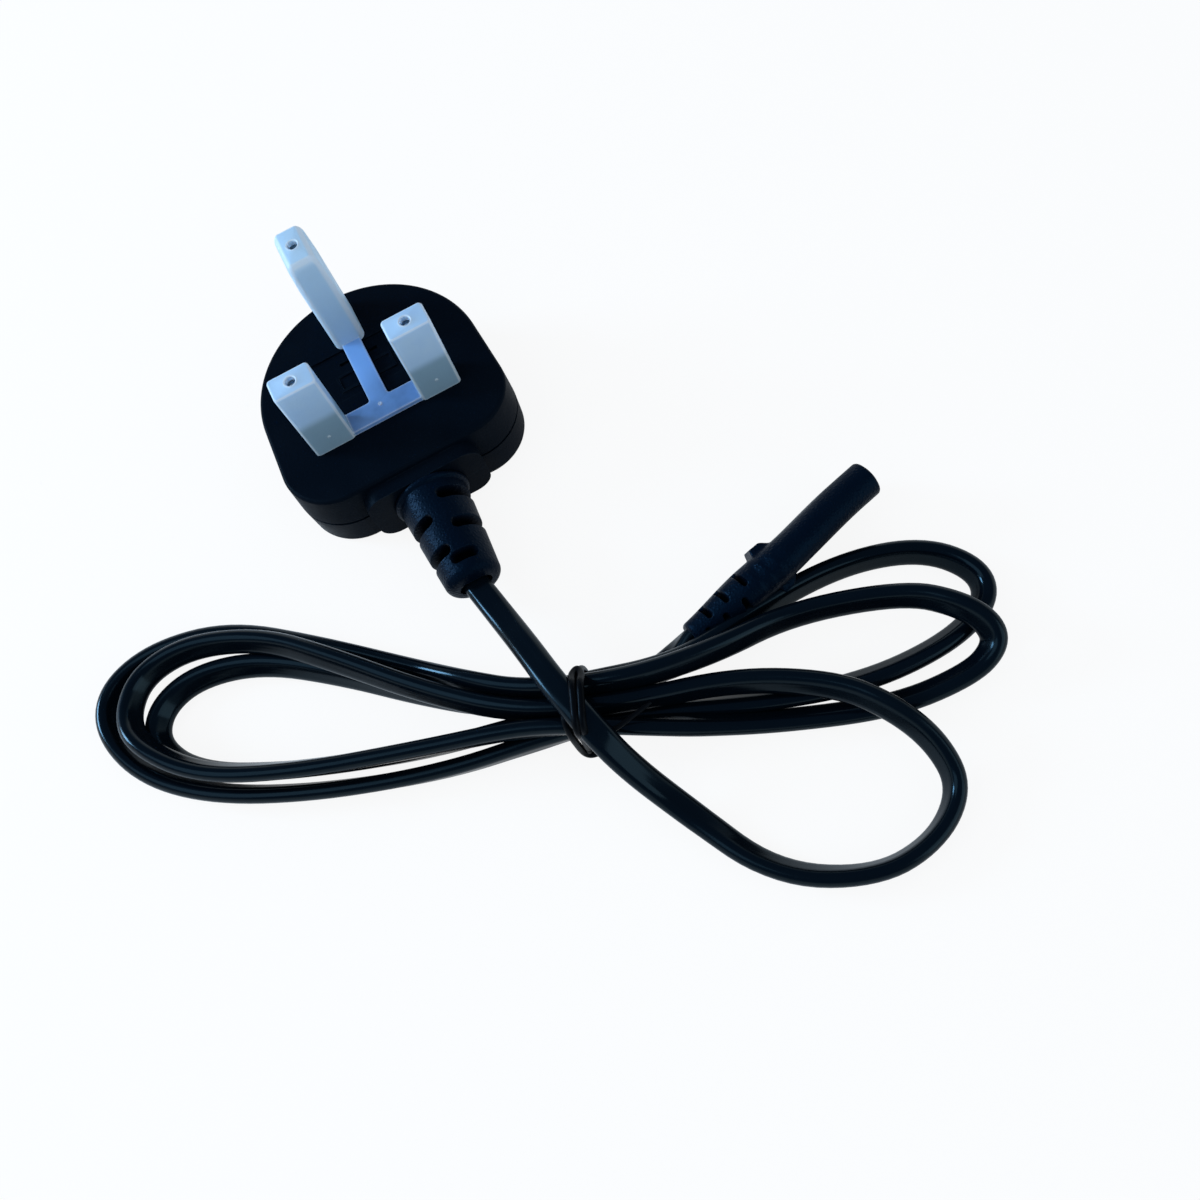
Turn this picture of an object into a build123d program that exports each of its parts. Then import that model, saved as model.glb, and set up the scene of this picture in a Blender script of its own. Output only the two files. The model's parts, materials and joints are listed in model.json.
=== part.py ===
from build123d import *
from math import radians, tan
import os

os.makedirs("parts", exist_ok=True)

# Mains lead in millimetres: a three-pin plug lying on its back, pins up, with a push-on pin cover,
# a flat twin cord in a tied hank and a figure-of-eight connector. Z = 0 is the floor.

# Plug shells, joined at a groove half way up
plug_thickness = 16.6
joint_height = 8.3
shell_wall = 2.0
face_wall = 3.0
back_wall = 2.2
face_draft = 0.4
back_draft = 0.2
crown_radius = 22.7
earth_margin = 4.1
corner_radius = 10.4
corner_x = 12.8
corner_y = -9.9
back_edge_radius = 2.0
face_edge_radius = 0.8
groove_half_width = 0.3
groove_depth = 0.5
collar_half_width = 11.7
collar_front_y = -22.8
collar_bottom = 2.3
collar_top = 15.3
collar_radius = 3.5
collar_root_y = -15.0

# Pins and their places
pin_line_y = -6.6
pin_spacing = 22.2
earth_offset = 22.2
pin_width = 6.35
pin_depth = 4.0
pin_length = 17.7
earth_width = 4.0
earth_depth = 8.0
earth_length = 22.73
pin_tip_chamfer = 1.0
sleeve_length = 9.5
sleeve_wall = 0.5
pin_clearance = 0.05
flange_rim = 1.2
flange_thickness = 1.5

# Fuse in its carrier, and the metal that feeds it
fuse_y = 5.1
fuse_length = 25.4
fuse_cap_radius = 3.15
fuse_cap_length = 5.8
fuse_cap_end = 0.4
fuse_tube_radius = 2.75
fuse_clearance = 0.1
carrier_length = 29.2
carrier_width = 10.8
carrier_plate = 1.6
carrier_recess = 0.4
carrier_clearance = 0.1
carrier_ledge = 0.9
carrier_cheek_length = 9.0
carrier_cheek_wall = 1.0
pry_slot_y = 7.7
pry_slot_width = 0.8
pry_slot_length = 8.0
pry_slot_depth = 0.7
symbol_length = 11.6
symbol_width = 3.9
symbol_y = 3.4
symbol_height = 0.3
symbol_line = 0.5
clip_length = 5.0
clip_clearance = 0.05
clip_arm_rise = 1.0
clip_wall = 0.6
clip_post_width = 6.0
strap_width = 4.0

# Crimps and cores inside the plug
core_radius = 1.0
core_offset = 1.15
core_bend = 2.0
crimp_wall = 0.45
crimp_length = 4.0
crimp_overlap = 0.3
crimp_clearance = 0.05
neutral_crimp_y = -11.0
line_crimp_y = -2.0
line_bend_y = -9.0
core_stop = 1.0

# Pin cover: three caps joined by a flat T on the face
cover_clearance = 0.1
cap_wall_x = 0.77
cap_wall_y = 0.4
cap_roof = 1.0
cap_headroom = 0.4
cap_hole_radius = 1.0
cap_corner = 0.9
cap_top_edge = 0.6
earth_cap_wall_x = 1.0
earth_cap_wall_y = 0.95
bridge_thickness = 1.0
stem_half_width = 1.9
crossbar_front = 2.2
crossbar_back = 2.4

# Strain relief bush on the plug
bush_base_radius = 6.9
bush_end_radius = 5.25
bush_tip_round = 2.0
bush_end_y = -43.9
bush_neck_radius = 4.6
bush_flange_radius = 5.2
bush_flange = 1.4
bush_clearance = 0.05
bush_core_radius = 3.7
slot_width = 2.2
slot_start_x = 0.7
right_slot_ys = (-28.0, -34.2, -39.8)
left_slot_ys = (-31.1, -37.0)

# Flat twin cord, on edge, from the plug through the hank to the connector
cord_width = 4.8
cord_thickness = 2.8
cord_clearance = 0.05
cord_inner_y = -15.2
# Lead out of the plug, over the hank and round the large loop
lead = [
    (0, -43.9, 8.3), (0, -51, 8.3), (1.6, -60, 12.2), (3.5, -70, 14.5), (6.2, -80, 14.6),
    (9, -87.5, 9.2), (14, -97, 2.6), (21.5, -113, 2.6), (35, -122, 2.6), (47, -121.5, 2.6),
    (55, -115.5, 2.6), (56, -107, 5.4), (52, -99.5, 9), (46, -91, 8.6), (32, -81.5, 7.6), (14, -77, 8.7),
]
# Middle left loop
middle_loop = [
    (-2.5, -69.8, 8.7), (-16, -58, 8), (-29, -42, 7.8), (-40.5, -30.2, 3.4), (-54, -23.5, 2.6),
    (-65, -24, 2.6), (-71, -30.5, 4), (-69, -41, 8), (-59, -51.5, 7.8), (-43, -60, 7.8),
    (-22, -67.5, 7.8), (-3, -73, 8.7),
]
# Second right loop
second_loop = [
    (11, -80, 8.6), (21, -86.5, 7), (34, -92.5, 2.6), (52, -99.5, 2.6), (66, -101, 2.6),
    (73.5, -99, 3.6), (75.5, -94.5, 7.4), (72, -88.5, 9.3), (64, -82.5, 7.8), (46, -76, 5),
    (30, -77, 8.2), (15, -74.2, 8.7),
]
# Outer left loop, first right loop, inner left loop and the tail to the connector
last_loops = [
    (-0.5, -67, 8.7), (-9, -59.5, 8.4), (-17, -50, 3.2), (-30, -35.5, 2.6), (-45.3, -22.7, 2.6),
    (-61, -18.5, 2.6), (-72, -22.5, 2.6), (-75.5, -31, 2.6), (-71, -43.5, 2.6), (-59, -54, 2.6),
    (-41, -63, 2.6), (-20, -70.5, 2.6), (-3, -74, 3.5),
    (13, -78, 3.3), (33, -86.5, 2.6), (50, -92.5, 2.6), (66, -94, 2.6), (76, -90.5, 2.6),
    (79, -84, 2.6), (73, -75.5, 2.6), (60, -72.2, 2.6), (44, -73.6, 6), (29, -73.8, 9.3),
    (19, -71.8, 9.3), (11.5, -68.3, 4.8),
    (4, -66, 3.5), (-7, -63.8, 3), (-18, -57, 2.6), (-31, -45, 2.6), (-43, -34.5, 2.6), (-55, -30.5, 2.6),
    (-63.5, -32.5, 2.6), (-66.5, -39, 2.6), (-60.5, -47.5, 2.6), (-46, -56, 2.6), (-25, -64.5, 2.6),
    (-3, -70.2, 3.4), (12, -74.8, 3.5), (20.5, -72.5, 3.1), (28.9, -70.25, 4.2),
]
bend_share = 0.45
# How far the cord's section leans off upright where each of the four lists starts
lead_lean = 0
middle_lean = 10
second_lean = 24
last_lean = 0

# Wire tie round the hank
tie_centre = (5.7, -73.4)
tie_axis = (0.924, -0.383)
tie_wire = 0.9
tie_width = 1.8
tie_near = -7.2
tie_far = 9.4
tie_floor = 0.05
tie_shoulder = 12.0
tie_crown = 18.2
tie_crown_far = 2.4
tie_corner = 1.6

# Figure-of-eight connector, standing on its narrow edge and leaning
nose_tip = (69.0, -61.2, 6.55)
connector_axis = (0.9713, 0.2387, 0)
connector_wide = (0.0808, -0.3287, 0.941)
nose_width = 13.4
nose_thickness = 7.0
nose_waist = 6.0
nose_length = 21.0
grip_start = 21.0
grip_length = 6.5
grip_width = 12.6
grip_thickness = 7.4
wing_start = 22.4
wing_length = 3.6
wing_width = 5.6
wing_thickness = 10.6
wing_edge = 0.7
relief_start = 27.5
relief_root_width = 10.0
relief_root_thickness = 7.0
relief_end_width = 6.0
relief_end_thickness = 4.6
relief_slot_width = 1.5
relief_slot_depth = 1.1
relief_slots = (30.2, 33.9, 37.4)
contact_spacing = 8.6
contact_bore = 1.25
contact_wall = 0.5
contact_depth = 10.0
contact_recess = 2.0
insert_width = 12.2
insert_thickness = 5.2
insert_length = 14.0
connector_core_radius = 0.8
connector_core_clearance = 0.05

# Sizes that follow from the ones above
face_height = plug_thickness
face_inside = face_height - face_wall
flange_bottom = face_inside - flange_thickness
pin_x = pin_spacing / 2
earth_y = pin_line_y + earth_offset
crown_y = earth_y + earth_depth / 2 + earth_margin - crown_radius
route = lead + middle_loop + second_loop + last_loops
cord_z = route[0][2]
fuse_z = face_height - carrier_recess - carrier_plate - fuse_cap_radius - fuse_clearance
clip_bottom = fuse_z - fuse_cap_radius - clip_wall
cap_x = fuse_length / 2 - fuse_cap_length / 2
cap_lift = fuse_z - fuse_cap_radius
clip_half_width = fuse_cap_radius + clip_clearance + clip_wall
crimp_radius = core_radius + crimp_clearance + crimp_wall
neutral_crimp_z = flange_bottom - clip_wall - crimp_radius + crimp_overlap
line_crimp_z = clip_bottom - crimp_radius + crimp_overlap
bush_flange_y = corner_y - corner_radius + shell_wall + face_draft + bush_clearance
nose_plane = Plane(origin=nose_tip, x_dir=connector_wide, z_dir=-Vector(connector_axis))
relief_end = nose_plane.to_local_coords(Vector(route[-1]))


# Outline of the plug seen from the pins, drawn in by an even inset
def plug_outline(inset):
    with BuildSketch(mode=Mode.PRIVATE) as outline:
        with Locations((0, crown_y)):
            Circle(crown_radius - inset)
        with Locations((corner_x, corner_y), (-corner_x, corner_y)):
            Circle(corner_radius - inset)
        make_hull()
        with Locations((0, corner_y - corner_radius + inset)):
            Rectangle(2 * (corner_x + corner_radius), 2 * crown_radius + corner_radius,
                      align=(Align.CENTER, Align.MIN), mode=Mode.INTERSECT)
    return outline.sketch


# Pin-side shell: drafted cup with the pin openings, the carrier's window and half of the collar
with BuildPart() as plug_base:
    with BuildSketch(Plane.XY.offset(joint_height)):
        add(plug_outline(0))
    with BuildSketch(Plane.XY.offset(face_height)):
        add(plug_outline(face_draft))
    loft()
    fillet(plug_base.faces().sort_by(Axis.Z)[-1].edges(), radius=face_edge_radius)
    with BuildSketch(Plane.XZ.offset(-collar_front_y)):
        with Locations((0, (collar_top + collar_bottom) / 2)):
            RectangleRounded(2 * collar_half_width, collar_top - collar_bottom, collar_radius)
        with Locations((0, joint_height)):
            Rectangle(2 * collar_half_width, joint_height,
                      align=(Align.CENTER, Align.MAX), mode=Mode.SUBTRACT)
    extrude(amount=collar_front_y - collar_root_y)
    with BuildSketch(Plane.XY.offset(joint_height)):
        add(plug_outline(shell_wall))
    with BuildSketch(Plane.XY.offset(face_inside)):
        add(plug_outline(shell_wall + face_draft))
    loft(mode=Mode.SUBTRACT)
    with BuildSketch(Plane.XY.offset(joint_height)):
        add(plug_outline(0))
        add(plug_outline(groove_depth), mode=Mode.SUBTRACT)
        with Locations((0, collar_front_y)):
            Rectangle(2 * collar_half_width, collar_root_y - collar_front_y,
                      align=(Align.CENTER, Align.MIN), mode=Mode.SUBTRACT)
    extrude(amount=groove_half_width, mode=Mode.SUBTRACT)
    with BuildSketch(Plane.XY.offset(face_height)):
        with Locations((-pin_x, pin_line_y), (pin_x, pin_line_y)):
            Rectangle(pin_width + 2 * pin_clearance, pin_depth + 2 * pin_clearance)
        with Locations((0, earth_y)):
            Rectangle(earth_width + 2 * pin_clearance, earth_depth + 2 * pin_clearance)
        with Locations((0, fuse_y)):
            Rectangle(carrier_length - 2 * carrier_ledge, carrier_width)
    extrude(amount=-face_wall, mode=Mode.SUBTRACT)
    with BuildSketch(Plane.XY.offset(face_height)):
        with Locations((0, fuse_y)):
            Rectangle(carrier_length, carrier_width)
    extrude(amount=-carrier_recess - carrier_plate, mode=Mode.SUBTRACT)
    with BuildSketch(Plane.XZ.offset(-collar_front_y)):
        with Locations((0, cord_z)):
            Circle(bush_neck_radius + bush_clearance)
    extrude(amount=collar_front_y - collar_root_y - shell_wall, mode=Mode.SUBTRACT)
plug_base.part.label = "plug_base"
export_step(plug_base.part, "parts/plug_base.step")

# Rear shell: the lower cup, with posts that hold the fuse clips
with BuildPart() as plug_back:
    with BuildSketch(Plane.XY.offset(joint_height)):
        add(plug_outline(0))
    with BuildSketch(Plane.XY):
        add(plug_outline(back_draft))
    loft()
    fillet(plug_back.faces().sort_by(Axis.Z)[0].edges(), radius=back_edge_radius)
    with BuildSketch(Plane.XZ.offset(-collar_front_y)):
        with Locations((0, (collar_top + collar_bottom) / 2)):
            RectangleRounded(2 * collar_half_width, collar_top - collar_bottom, collar_radius)
        with Locations((0, joint_height)):
            Rectangle(2 * collar_half_width, joint_height,
                      align=(Align.CENTER, Align.MIN), mode=Mode.SUBTRACT)
    extrude(amount=collar_front_y - collar_root_y)
    with BuildSketch(Plane.XY.offset(joint_height)):
        add(plug_outline(shell_wall))
    with BuildSketch(Plane.XY.offset(back_wall)):
        add(plug_outline(shell_wall + back_draft))
    loft(mode=Mode.SUBTRACT)
    with BuildSketch(Plane.XY.offset(joint_height)):
        add(plug_outline(0))
        add(plug_outline(groove_depth), mode=Mode.SUBTRACT)
        with Locations((0, collar_front_y)):
            Rectangle(2 * collar_half_width, collar_root_y - collar_front_y,
                      align=(Align.CENTER, Align.MIN), mode=Mode.SUBTRACT)
    extrude(amount=-groove_half_width, mode=Mode.SUBTRACT)
    with BuildSketch(Plane.XY.offset(clip_bottom)):
        with Locations((-cap_x, fuse_y), (cap_x, fuse_y)):
            Rectangle(clip_length, clip_post_width)
    extrude(amount=back_wall - clip_bottom)
    with BuildSketch(Plane.XZ.offset(-collar_front_y)):
        with Locations((0, cord_z)):
            Circle(bush_neck_radius + bush_clearance)
    extrude(amount=collar_front_y - collar_root_y - shell_wall, mode=Mode.SUBTRACT)
plug_back.part.label = "plug_back"
export_step(plug_back.part, "parts/plug_back.step")

# Line and neutral pins: necked under their sleeves and headed inside the face
for side, x in (("line", -pin_x), ("neutral", pin_x)):
    with BuildPart() as pin:
        with BuildSketch(Plane.XY.offset(face_height + sleeve_length)):
            with Locations((x, pin_line_y)):
                Rectangle(pin_width, pin_depth)
        extrude(amount=pin_length - sleeve_length)
        chamfer(pin.faces().sort_by(Axis.Z)[-1].edges(), length=pin_tip_chamfer)
        with BuildSketch(Plane.XY.offset(face_inside)):
            with Locations((x, pin_line_y)):
                Rectangle(pin_width - 2 * sleeve_wall, pin_depth - 2 * sleeve_wall)
        extrude(amount=face_wall + sleeve_length)
        with BuildSketch(Plane.XY.offset(face_inside)):
            with Locations((x, pin_line_y)):
                Rectangle(pin_width + 2 * flange_rim, pin_depth + 2 * flange_rim)
        extrude(amount=-flange_thickness)
    pin.part.label = side + "_pin"
    export_step(pin.part, "parts/" + side + "_pin.step")

    with BuildPart() as pin_sleeve:
        with BuildSketch(Plane.XY.offset(face_inside)):
            with Locations((x, pin_line_y)):
                Rectangle(pin_width, pin_depth)
                Rectangle(pin_width - 2 * sleeve_wall, pin_depth - 2 * sleeve_wall, mode=Mode.SUBTRACT)
        extrude(amount=face_wall + sleeve_length)
    pin_sleeve.part.label = side + "_pin_sleeve"
    export_step(pin_sleeve.part, "parts/" + side + "_pin_sleeve.step")

with BuildPart() as earth_pin:
    with BuildSketch(Plane.XY.offset(face_inside)):
        with Locations((0, earth_y)):
            Rectangle(earth_width, earth_depth)
    extrude(amount=face_wall + earth_length)
    chamfer(earth_pin.faces().sort_by(Axis.Z)[-1].edges(), length=pin_tip_chamfer)
    with BuildSketch(Plane.XY.offset(face_inside)):
        with Locations((0, earth_y)):
            Rectangle(earth_width + 2 * flange_rim, earth_depth + flange_rim)
    extrude(amount=-flange_thickness)
earth_pin.part.label = "earth_pin"
export_step(earth_pin.part, "parts/earth_pin.step")

# Fuse carrier: plate with a pry slot and a raised fuse sign, and two cheeks beside the fuse
with BuildPart() as fuse_carrier:
    with BuildSketch(Plane.XY.offset(face_height - carrier_recess)):
        with Locations((0, fuse_y)):
            Rectangle(carrier_length - 2 * carrier_clearance, carrier_width - 2 * carrier_clearance)
    extrude(amount=-carrier_plate)
    with BuildSketch(Plane.XY.offset(face_height - carrier_recess)):
        with Locations((0, pry_slot_y)):
            Rectangle(pry_slot_length, pry_slot_width)
    extrude(amount=-pry_slot_depth, mode=Mode.SUBTRACT)
    with BuildSketch(Plane.XY.offset(face_height - carrier_recess)):
        with Locations((0, symbol_y)):
            Rectangle(symbol_length, symbol_width)
            Rectangle(symbol_length - 2 * symbol_line, symbol_width - 2 * symbol_line, mode=Mode.SUBTRACT)
    extrude(amount=symbol_height)
    with BuildSketch(Plane.XY.offset(face_height - carrier_recess - carrier_plate)):
        cheek_y = fuse_cap_radius + fuse_clearance + carrier_cheek_wall / 2
        with Locations((0, fuse_y - cheek_y), (0, fuse_y + cheek_y)):
            Rectangle(carrier_cheek_length, carrier_cheek_wall)
    extrude(amount=-fuse_cap_radius)
fuse_carrier.part.label = "fuse_carrier"
export_step(fuse_carrier.part, "parts/fuse_carrier.step")

with BuildPart() as fuse_tube:
    with BuildSketch(Plane.YZ.offset(fuse_cap_end - fuse_length / 2)):
        with Locations((fuse_y, fuse_z)):
            Circle(fuse_tube_radius)
    extrude(amount=fuse_length - 2 * fuse_cap_end)
fuse_tube.part.label = "fuse_tube"
export_step(fuse_tube.part, "parts/fuse_tube.step")

for side, x in (("line", -1), ("load", 1)):
    with BuildPart() as fuse_cap:
        with BuildSketch(Plane.YZ.offset(x * fuse_length / 2)):
            with Locations((fuse_y, fuse_z)):
                Circle(fuse_cap_radius)
        extrude(amount=-x * fuse_cap_length)
        with BuildSketch(Plane.YZ.offset(x * (fuse_length / 2 - fuse_cap_end))):
            with Locations((fuse_y, fuse_z)):
                Circle(fuse_tube_radius)
        extrude(amount=-x * fuse_cap_length, mode=Mode.SUBTRACT)
    fuse_cap.part.label = "fuse_cap_" + side
    export_step(fuse_cap.part, "parts/fuse_cap_" + side + ".step")

# Line-side clip: channel under the fuse cap with a strap up to the line pin's head
with BuildPart() as fuse_clip_line:
    with BuildSketch(Plane.YZ.offset(-cap_x - clip_length / 2)):
        with Locations((fuse_y, clip_bottom)):
            Rectangle(2 * clip_half_width, fuse_z + clip_arm_rise - clip_bottom,
                      align=(Align.CENTER, Align.MIN))
        with Locations((fuse_y, cap_lift)):
            Rectangle(2 * (fuse_cap_radius + clip_clearance), 2 * fuse_cap_radius,
                      align=(Align.CENTER, Align.MIN), mode=Mode.SUBTRACT)
    extrude(amount=clip_length)
    with BuildSketch(Plane.XY.offset(clip_bottom)):
        with Locations((-pin_x, pin_line_y)):
            Rectangle(strap_width, fuse_y - pin_line_y, align=(Align.CENTER, Align.MIN))
    extrude(amount=clip_wall)
    with BuildSketch(Plane.XY.offset(clip_bottom)):
        with Locations((-pin_x, pin_line_y)):
            Rectangle(strap_width, clip_wall, align=(Align.CENTER, Align.MIN))
    extrude(amount=flange_bottom - clip_bottom)
fuse_clip_line.part.label = "fuse_clip_line"
export_step(fuse_clip_line.part, "parts/fuse_clip_line.step")

# Load-side clip: the same channel with a crimp for the line core
with BuildPart() as fuse_clip_load:
    with BuildSketch(Plane.YZ.offset(cap_x - clip_length / 2)):
        with Locations((fuse_y, clip_bottom)):
            Rectangle(2 * clip_half_width, fuse_z + clip_arm_rise - clip_bottom,
                      align=(Align.CENTER, Align.MIN))
        with Locations((fuse_y, cap_lift)):
            Rectangle(2 * (fuse_cap_radius + clip_clearance), 2 * fuse_cap_radius,
                      align=(Align.CENTER, Align.MIN), mode=Mode.SUBTRACT)
    extrude(amount=clip_length)
    with BuildSketch(Plane.XY.offset(clip_bottom)):
        with Locations((cap_x, line_crimp_y - crimp_length)):
            Rectangle(strap_width, fuse_y - line_crimp_y + crimp_length, align=(Align.CENTER, Align.MIN))
    extrude(amount=clip_wall)
    with BuildSketch(Plane.XZ.offset(-line_crimp_y)):
        with Locations((cap_x, line_crimp_z)):
            Circle(crimp_radius)
            Circle(core_radius + crimp_clearance, mode=Mode.SUBTRACT)
    extrude(amount=crimp_length)
fuse_clip_load.part.label = "fuse_clip_load"
export_step(fuse_clip_load.part, "parts/fuse_clip_load.step")

# Neutral terminal: strap under the neutral pin's head with a crimp for the neutral core
with BuildPart() as neutral_terminal:
    with BuildSketch(Plane.XY.offset(flange_bottom)):
        with Locations((pin_x, neutral_crimp_y - crimp_radius)):
            Rectangle(strap_width, pin_line_y - neutral_crimp_y + crimp_radius,
                      align=(Align.CENTER, Align.MIN))
    extrude(amount=-clip_wall)
    with BuildSketch(Plane.YZ.offset(pin_x - crimp_length / 2)):
        with Locations((neutral_crimp_y, neutral_crimp_z)):
            Circle(crimp_radius)
            Circle(core_radius + crimp_clearance, mode=Mode.SUBTRACT)
    extrude(amount=crimp_length)
neutral_terminal.part.label = "neutral_terminal"
export_step(neutral_terminal.part, "parts/neutral_terminal.step")

# Cores from the cord's stripped end to their crimps
with BuildPart() as plug_line_core:
    with BuildLine() as line_core_path:
        FilletPolyline((0, cord_inner_y, cord_z - core_offset), (0, line_bend_y, line_crimp_z),
                       (cap_x, line_bend_y, line_crimp_z), (cap_x, line_crimp_y - core_stop, line_crimp_z),
                       radius=core_bend)
    with BuildSketch(Plane(origin=line_core_path.line @ 0, z_dir=line_core_path.line % 0)):
        Circle(core_radius)
    sweep()
plug_line_core.part.label = "plug_line_core"
export_step(plug_line_core.part, "parts/plug_line_core.step")

with BuildPart() as plug_neutral_core:
    with BuildLine() as neutral_core_path:
        FilletPolyline((0, cord_inner_y, cord_z + core_offset), (0, neutral_crimp_y, neutral_crimp_z),
                       (pin_x + core_stop, neutral_crimp_y, neutral_crimp_z), radius=core_bend)
    with BuildSketch(Plane(origin=neutral_core_path.line @ 0, z_dir=neutral_core_path.line % 0)):
        Circle(core_radius)
    sweep()
plug_neutral_core.part.label = "plug_neutral_core"
export_step(plug_neutral_core.part, "parts/plug_neutral_core.step")

# Pin cover: three hollow caps on a flat T, with a small hole in each roof
with BuildPart() as pin_cover:
    with BuildSketch(Plane.XY.offset(face_height)):
        with Locations((-pin_x, pin_line_y), (pin_x, pin_line_y)):
            RectangleRounded(pin_width + 2 * (cover_clearance + cap_wall_x),
                             pin_depth + 2 * (cover_clearance + cap_wall_y), cap_corner)
    extrude(amount=pin_length + cap_headroom + cap_roof)
    with BuildSketch(Plane.XY.offset(face_height)):
        with Locations((0, earth_y)):
            RectangleRounded(earth_width + 2 * (cover_clearance + earth_cap_wall_x),
                             earth_depth + 2 * (cover_clearance + earth_cap_wall_y), cap_corner)
    extrude(amount=earth_length + cap_headroom + cap_roof)
    fillet(pin_cover.faces().filter_by(Plane.XY).filter_by(lambda f: f.center().Z > face_height).edges(),
           radius=cap_top_edge)
    with BuildSketch(Plane.XY.offset(face_height)):
        with Locations((0, pin_line_y - crossbar_front)):
            Rectangle(pin_spacing, crossbar_front + crossbar_back, align=(Align.CENTER, Align.MIN))
        with Locations((0, pin_line_y)):
            Rectangle(2 * stem_half_width, earth_offset, align=(Align.CENTER, Align.MIN))
    extrude(amount=bridge_thickness)
    with BuildSketch(Plane.XY.offset(face_height)):
        with Locations((-pin_x, pin_line_y), (pin_x, pin_line_y)):
            Rectangle(pin_width + 2 * cover_clearance, pin_depth + 2 * cover_clearance)
    extrude(amount=pin_length + cap_headroom, mode=Mode.SUBTRACT)
    with BuildSketch(Plane.XY.offset(face_height)):
        with Locations((0, earth_y)):
            Rectangle(earth_width + 2 * cover_clearance, earth_depth + 2 * cover_clearance)
    extrude(amount=earth_length + cap_headroom, mode=Mode.SUBTRACT)
    with BuildSketch(Plane.XY.offset(face_height)):
        with Locations((-pin_x, pin_line_y), (pin_x, pin_line_y), (0, earth_y)):
            Circle(cap_hole_radius)
    extrude(amount=earth_length + cap_headroom + cap_roof, mode=Mode.SUBTRACT)
pin_cover.part.label = "pin_cover"
export_step(pin_cover.part, "parts/pin_cover.step")

# Strain relief: tapered bush with staggered slots, a neck through the collar and a flange inside
with BuildPart() as plug_strain_relief:
    with BuildSketch(Plane.YZ):
        with BuildLine():
            Polyline((bush_flange_y + bush_flange, cord_z),
                     (bush_flange_y + bush_flange, cord_z + bush_flange_radius),
                     (bush_flange_y, cord_z + bush_flange_radius), (bush_flange_y, cord_z + bush_neck_radius),
                     (collar_front_y, cord_z + bush_neck_radius), (collar_front_y, cord_z + bush_base_radius),
                     (bush_end_y, cord_z + bush_end_radius), (bush_end_y, cord_z), close=True)
        make_face()
    revolve(axis=Axis((0, 0, cord_z), (0, 1, 0)))
    fillet(plug_strain_relief.edges().filter_by(GeomType.CIRCLE).sort_by(Axis.Y)[0], radius=bush_tip_round)
    for slot_y in right_slot_ys + left_slot_ys:
        with BuildSketch(Plane.XZ.offset(-slot_y)):
            side = 1 if slot_y in right_slot_ys else -1
            with Locations((0, cord_z)):
                Circle(bush_base_radius)
                Circle(bush_core_radius, mode=Mode.SUBTRACT)
            with Locations((side * slot_start_x, cord_z)):
                Rectangle(2 * bush_base_radius, 2 * bush_base_radius, mode=Mode.INTERSECT,
                          align=(Align.MIN if side > 0 else Align.MAX, Align.CENTER))
        extrude(amount=slot_width / 2, both=True, mode=Mode.SUBTRACT)
    with BuildSketch(Plane.XZ.offset(-bush_end_y)):
        with Locations((0, cord_z)):
            SlotOverall(cord_width + 2 * cord_clearance, cord_thickness + 2 * cord_clearance, rotation=90)
    extrude(amount=bush_end_y - bush_flange_y - bush_flange, mode=Mode.SUBTRACT)
plug_strain_relief.part.label = "plug_strain_relief"
export_step(plug_strain_relief.part, "parts/plug_strain_relief.step")

# Cord: straight inside the strain relief, then along the route with an arc at every corner
cord_radii = []
for before, corner, after in zip(route, route[1:], route[2:]):
    run_in = Vector(corner) - Vector(before)
    run_out = Vector(after) - Vector(corner)
    half_turn = radians(run_in.get_angle(run_out)) / 2
    cord_radii.append(bend_share * min(run_in.length, run_out.length) / tan(half_turn))
print("cord bend radii", [round(radius, 1) for radius in cord_radii])
with BuildPart() as cord:
    with BuildLine() as cord_path:
        FilletPolyline(*route, radius=cord_radii)
    path_edges = cord_path.wires()[0].order_edges()
    end_run = -1
    for points, lean in ((lead, lead_lean), (middle_loop, middle_lean), (second_loop, second_lean),
                         (last_loops, last_lean)):
        start_run = max(end_run, 0)
        end_run += len(points)
        stretch = Wire(path_edges[2 * start_run:2 * end_run])
        heading = stretch % 0
        with BuildSketch(Plane(origin=stretch @ 0, x_dir=(-heading.Y, heading.X, 0), z_dir=heading)):
            SlotOverall(cord_width, cord_thickness, rotation=90 + lean)
        sweep(path=stretch)
    with BuildSketch(Plane.XZ.offset(-route[0][1])):
        with Locations((0, cord_z)):
            SlotOverall(cord_width, cord_thickness, rotation=90)
    extrude(amount=route[0][1] - cord_inner_y)
cord.part.label = "cord"
export_step(cord.part, "parts/cord.step")
print("cord length", round(cord_path.wires()[0].length, 1), "volume", round(cord.part.volume, 1))

# Wire tie: a closed loop round all the passes
with BuildPart() as cord_tie:
    tie_across = (-tie_axis[1], tie_axis[0], 0)
    with BuildSketch(Plane(origin=tie_centre + (0,), x_dir=tie_across, z_dir=tie_axis + (0,))):
        with BuildLine():
            Polyline((tie_near, tie_floor), (tie_far, tie_floor), (tie_far, tie_shoulder),
                     (tie_crown_far, tie_crown), (tie_near, tie_crown), close=True)
        tie_loop = make_face()
        fillet(tie_loop.vertices(), radius=tie_corner)
        offset(amount=-tie_wire, mode=Mode.SUBTRACT)
    extrude(amount=tie_width / 2, both=True)
cord_tie.part.label = "cord_tie"
export_step(cord_tie.part, "parts/cord_tie.step")

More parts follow.
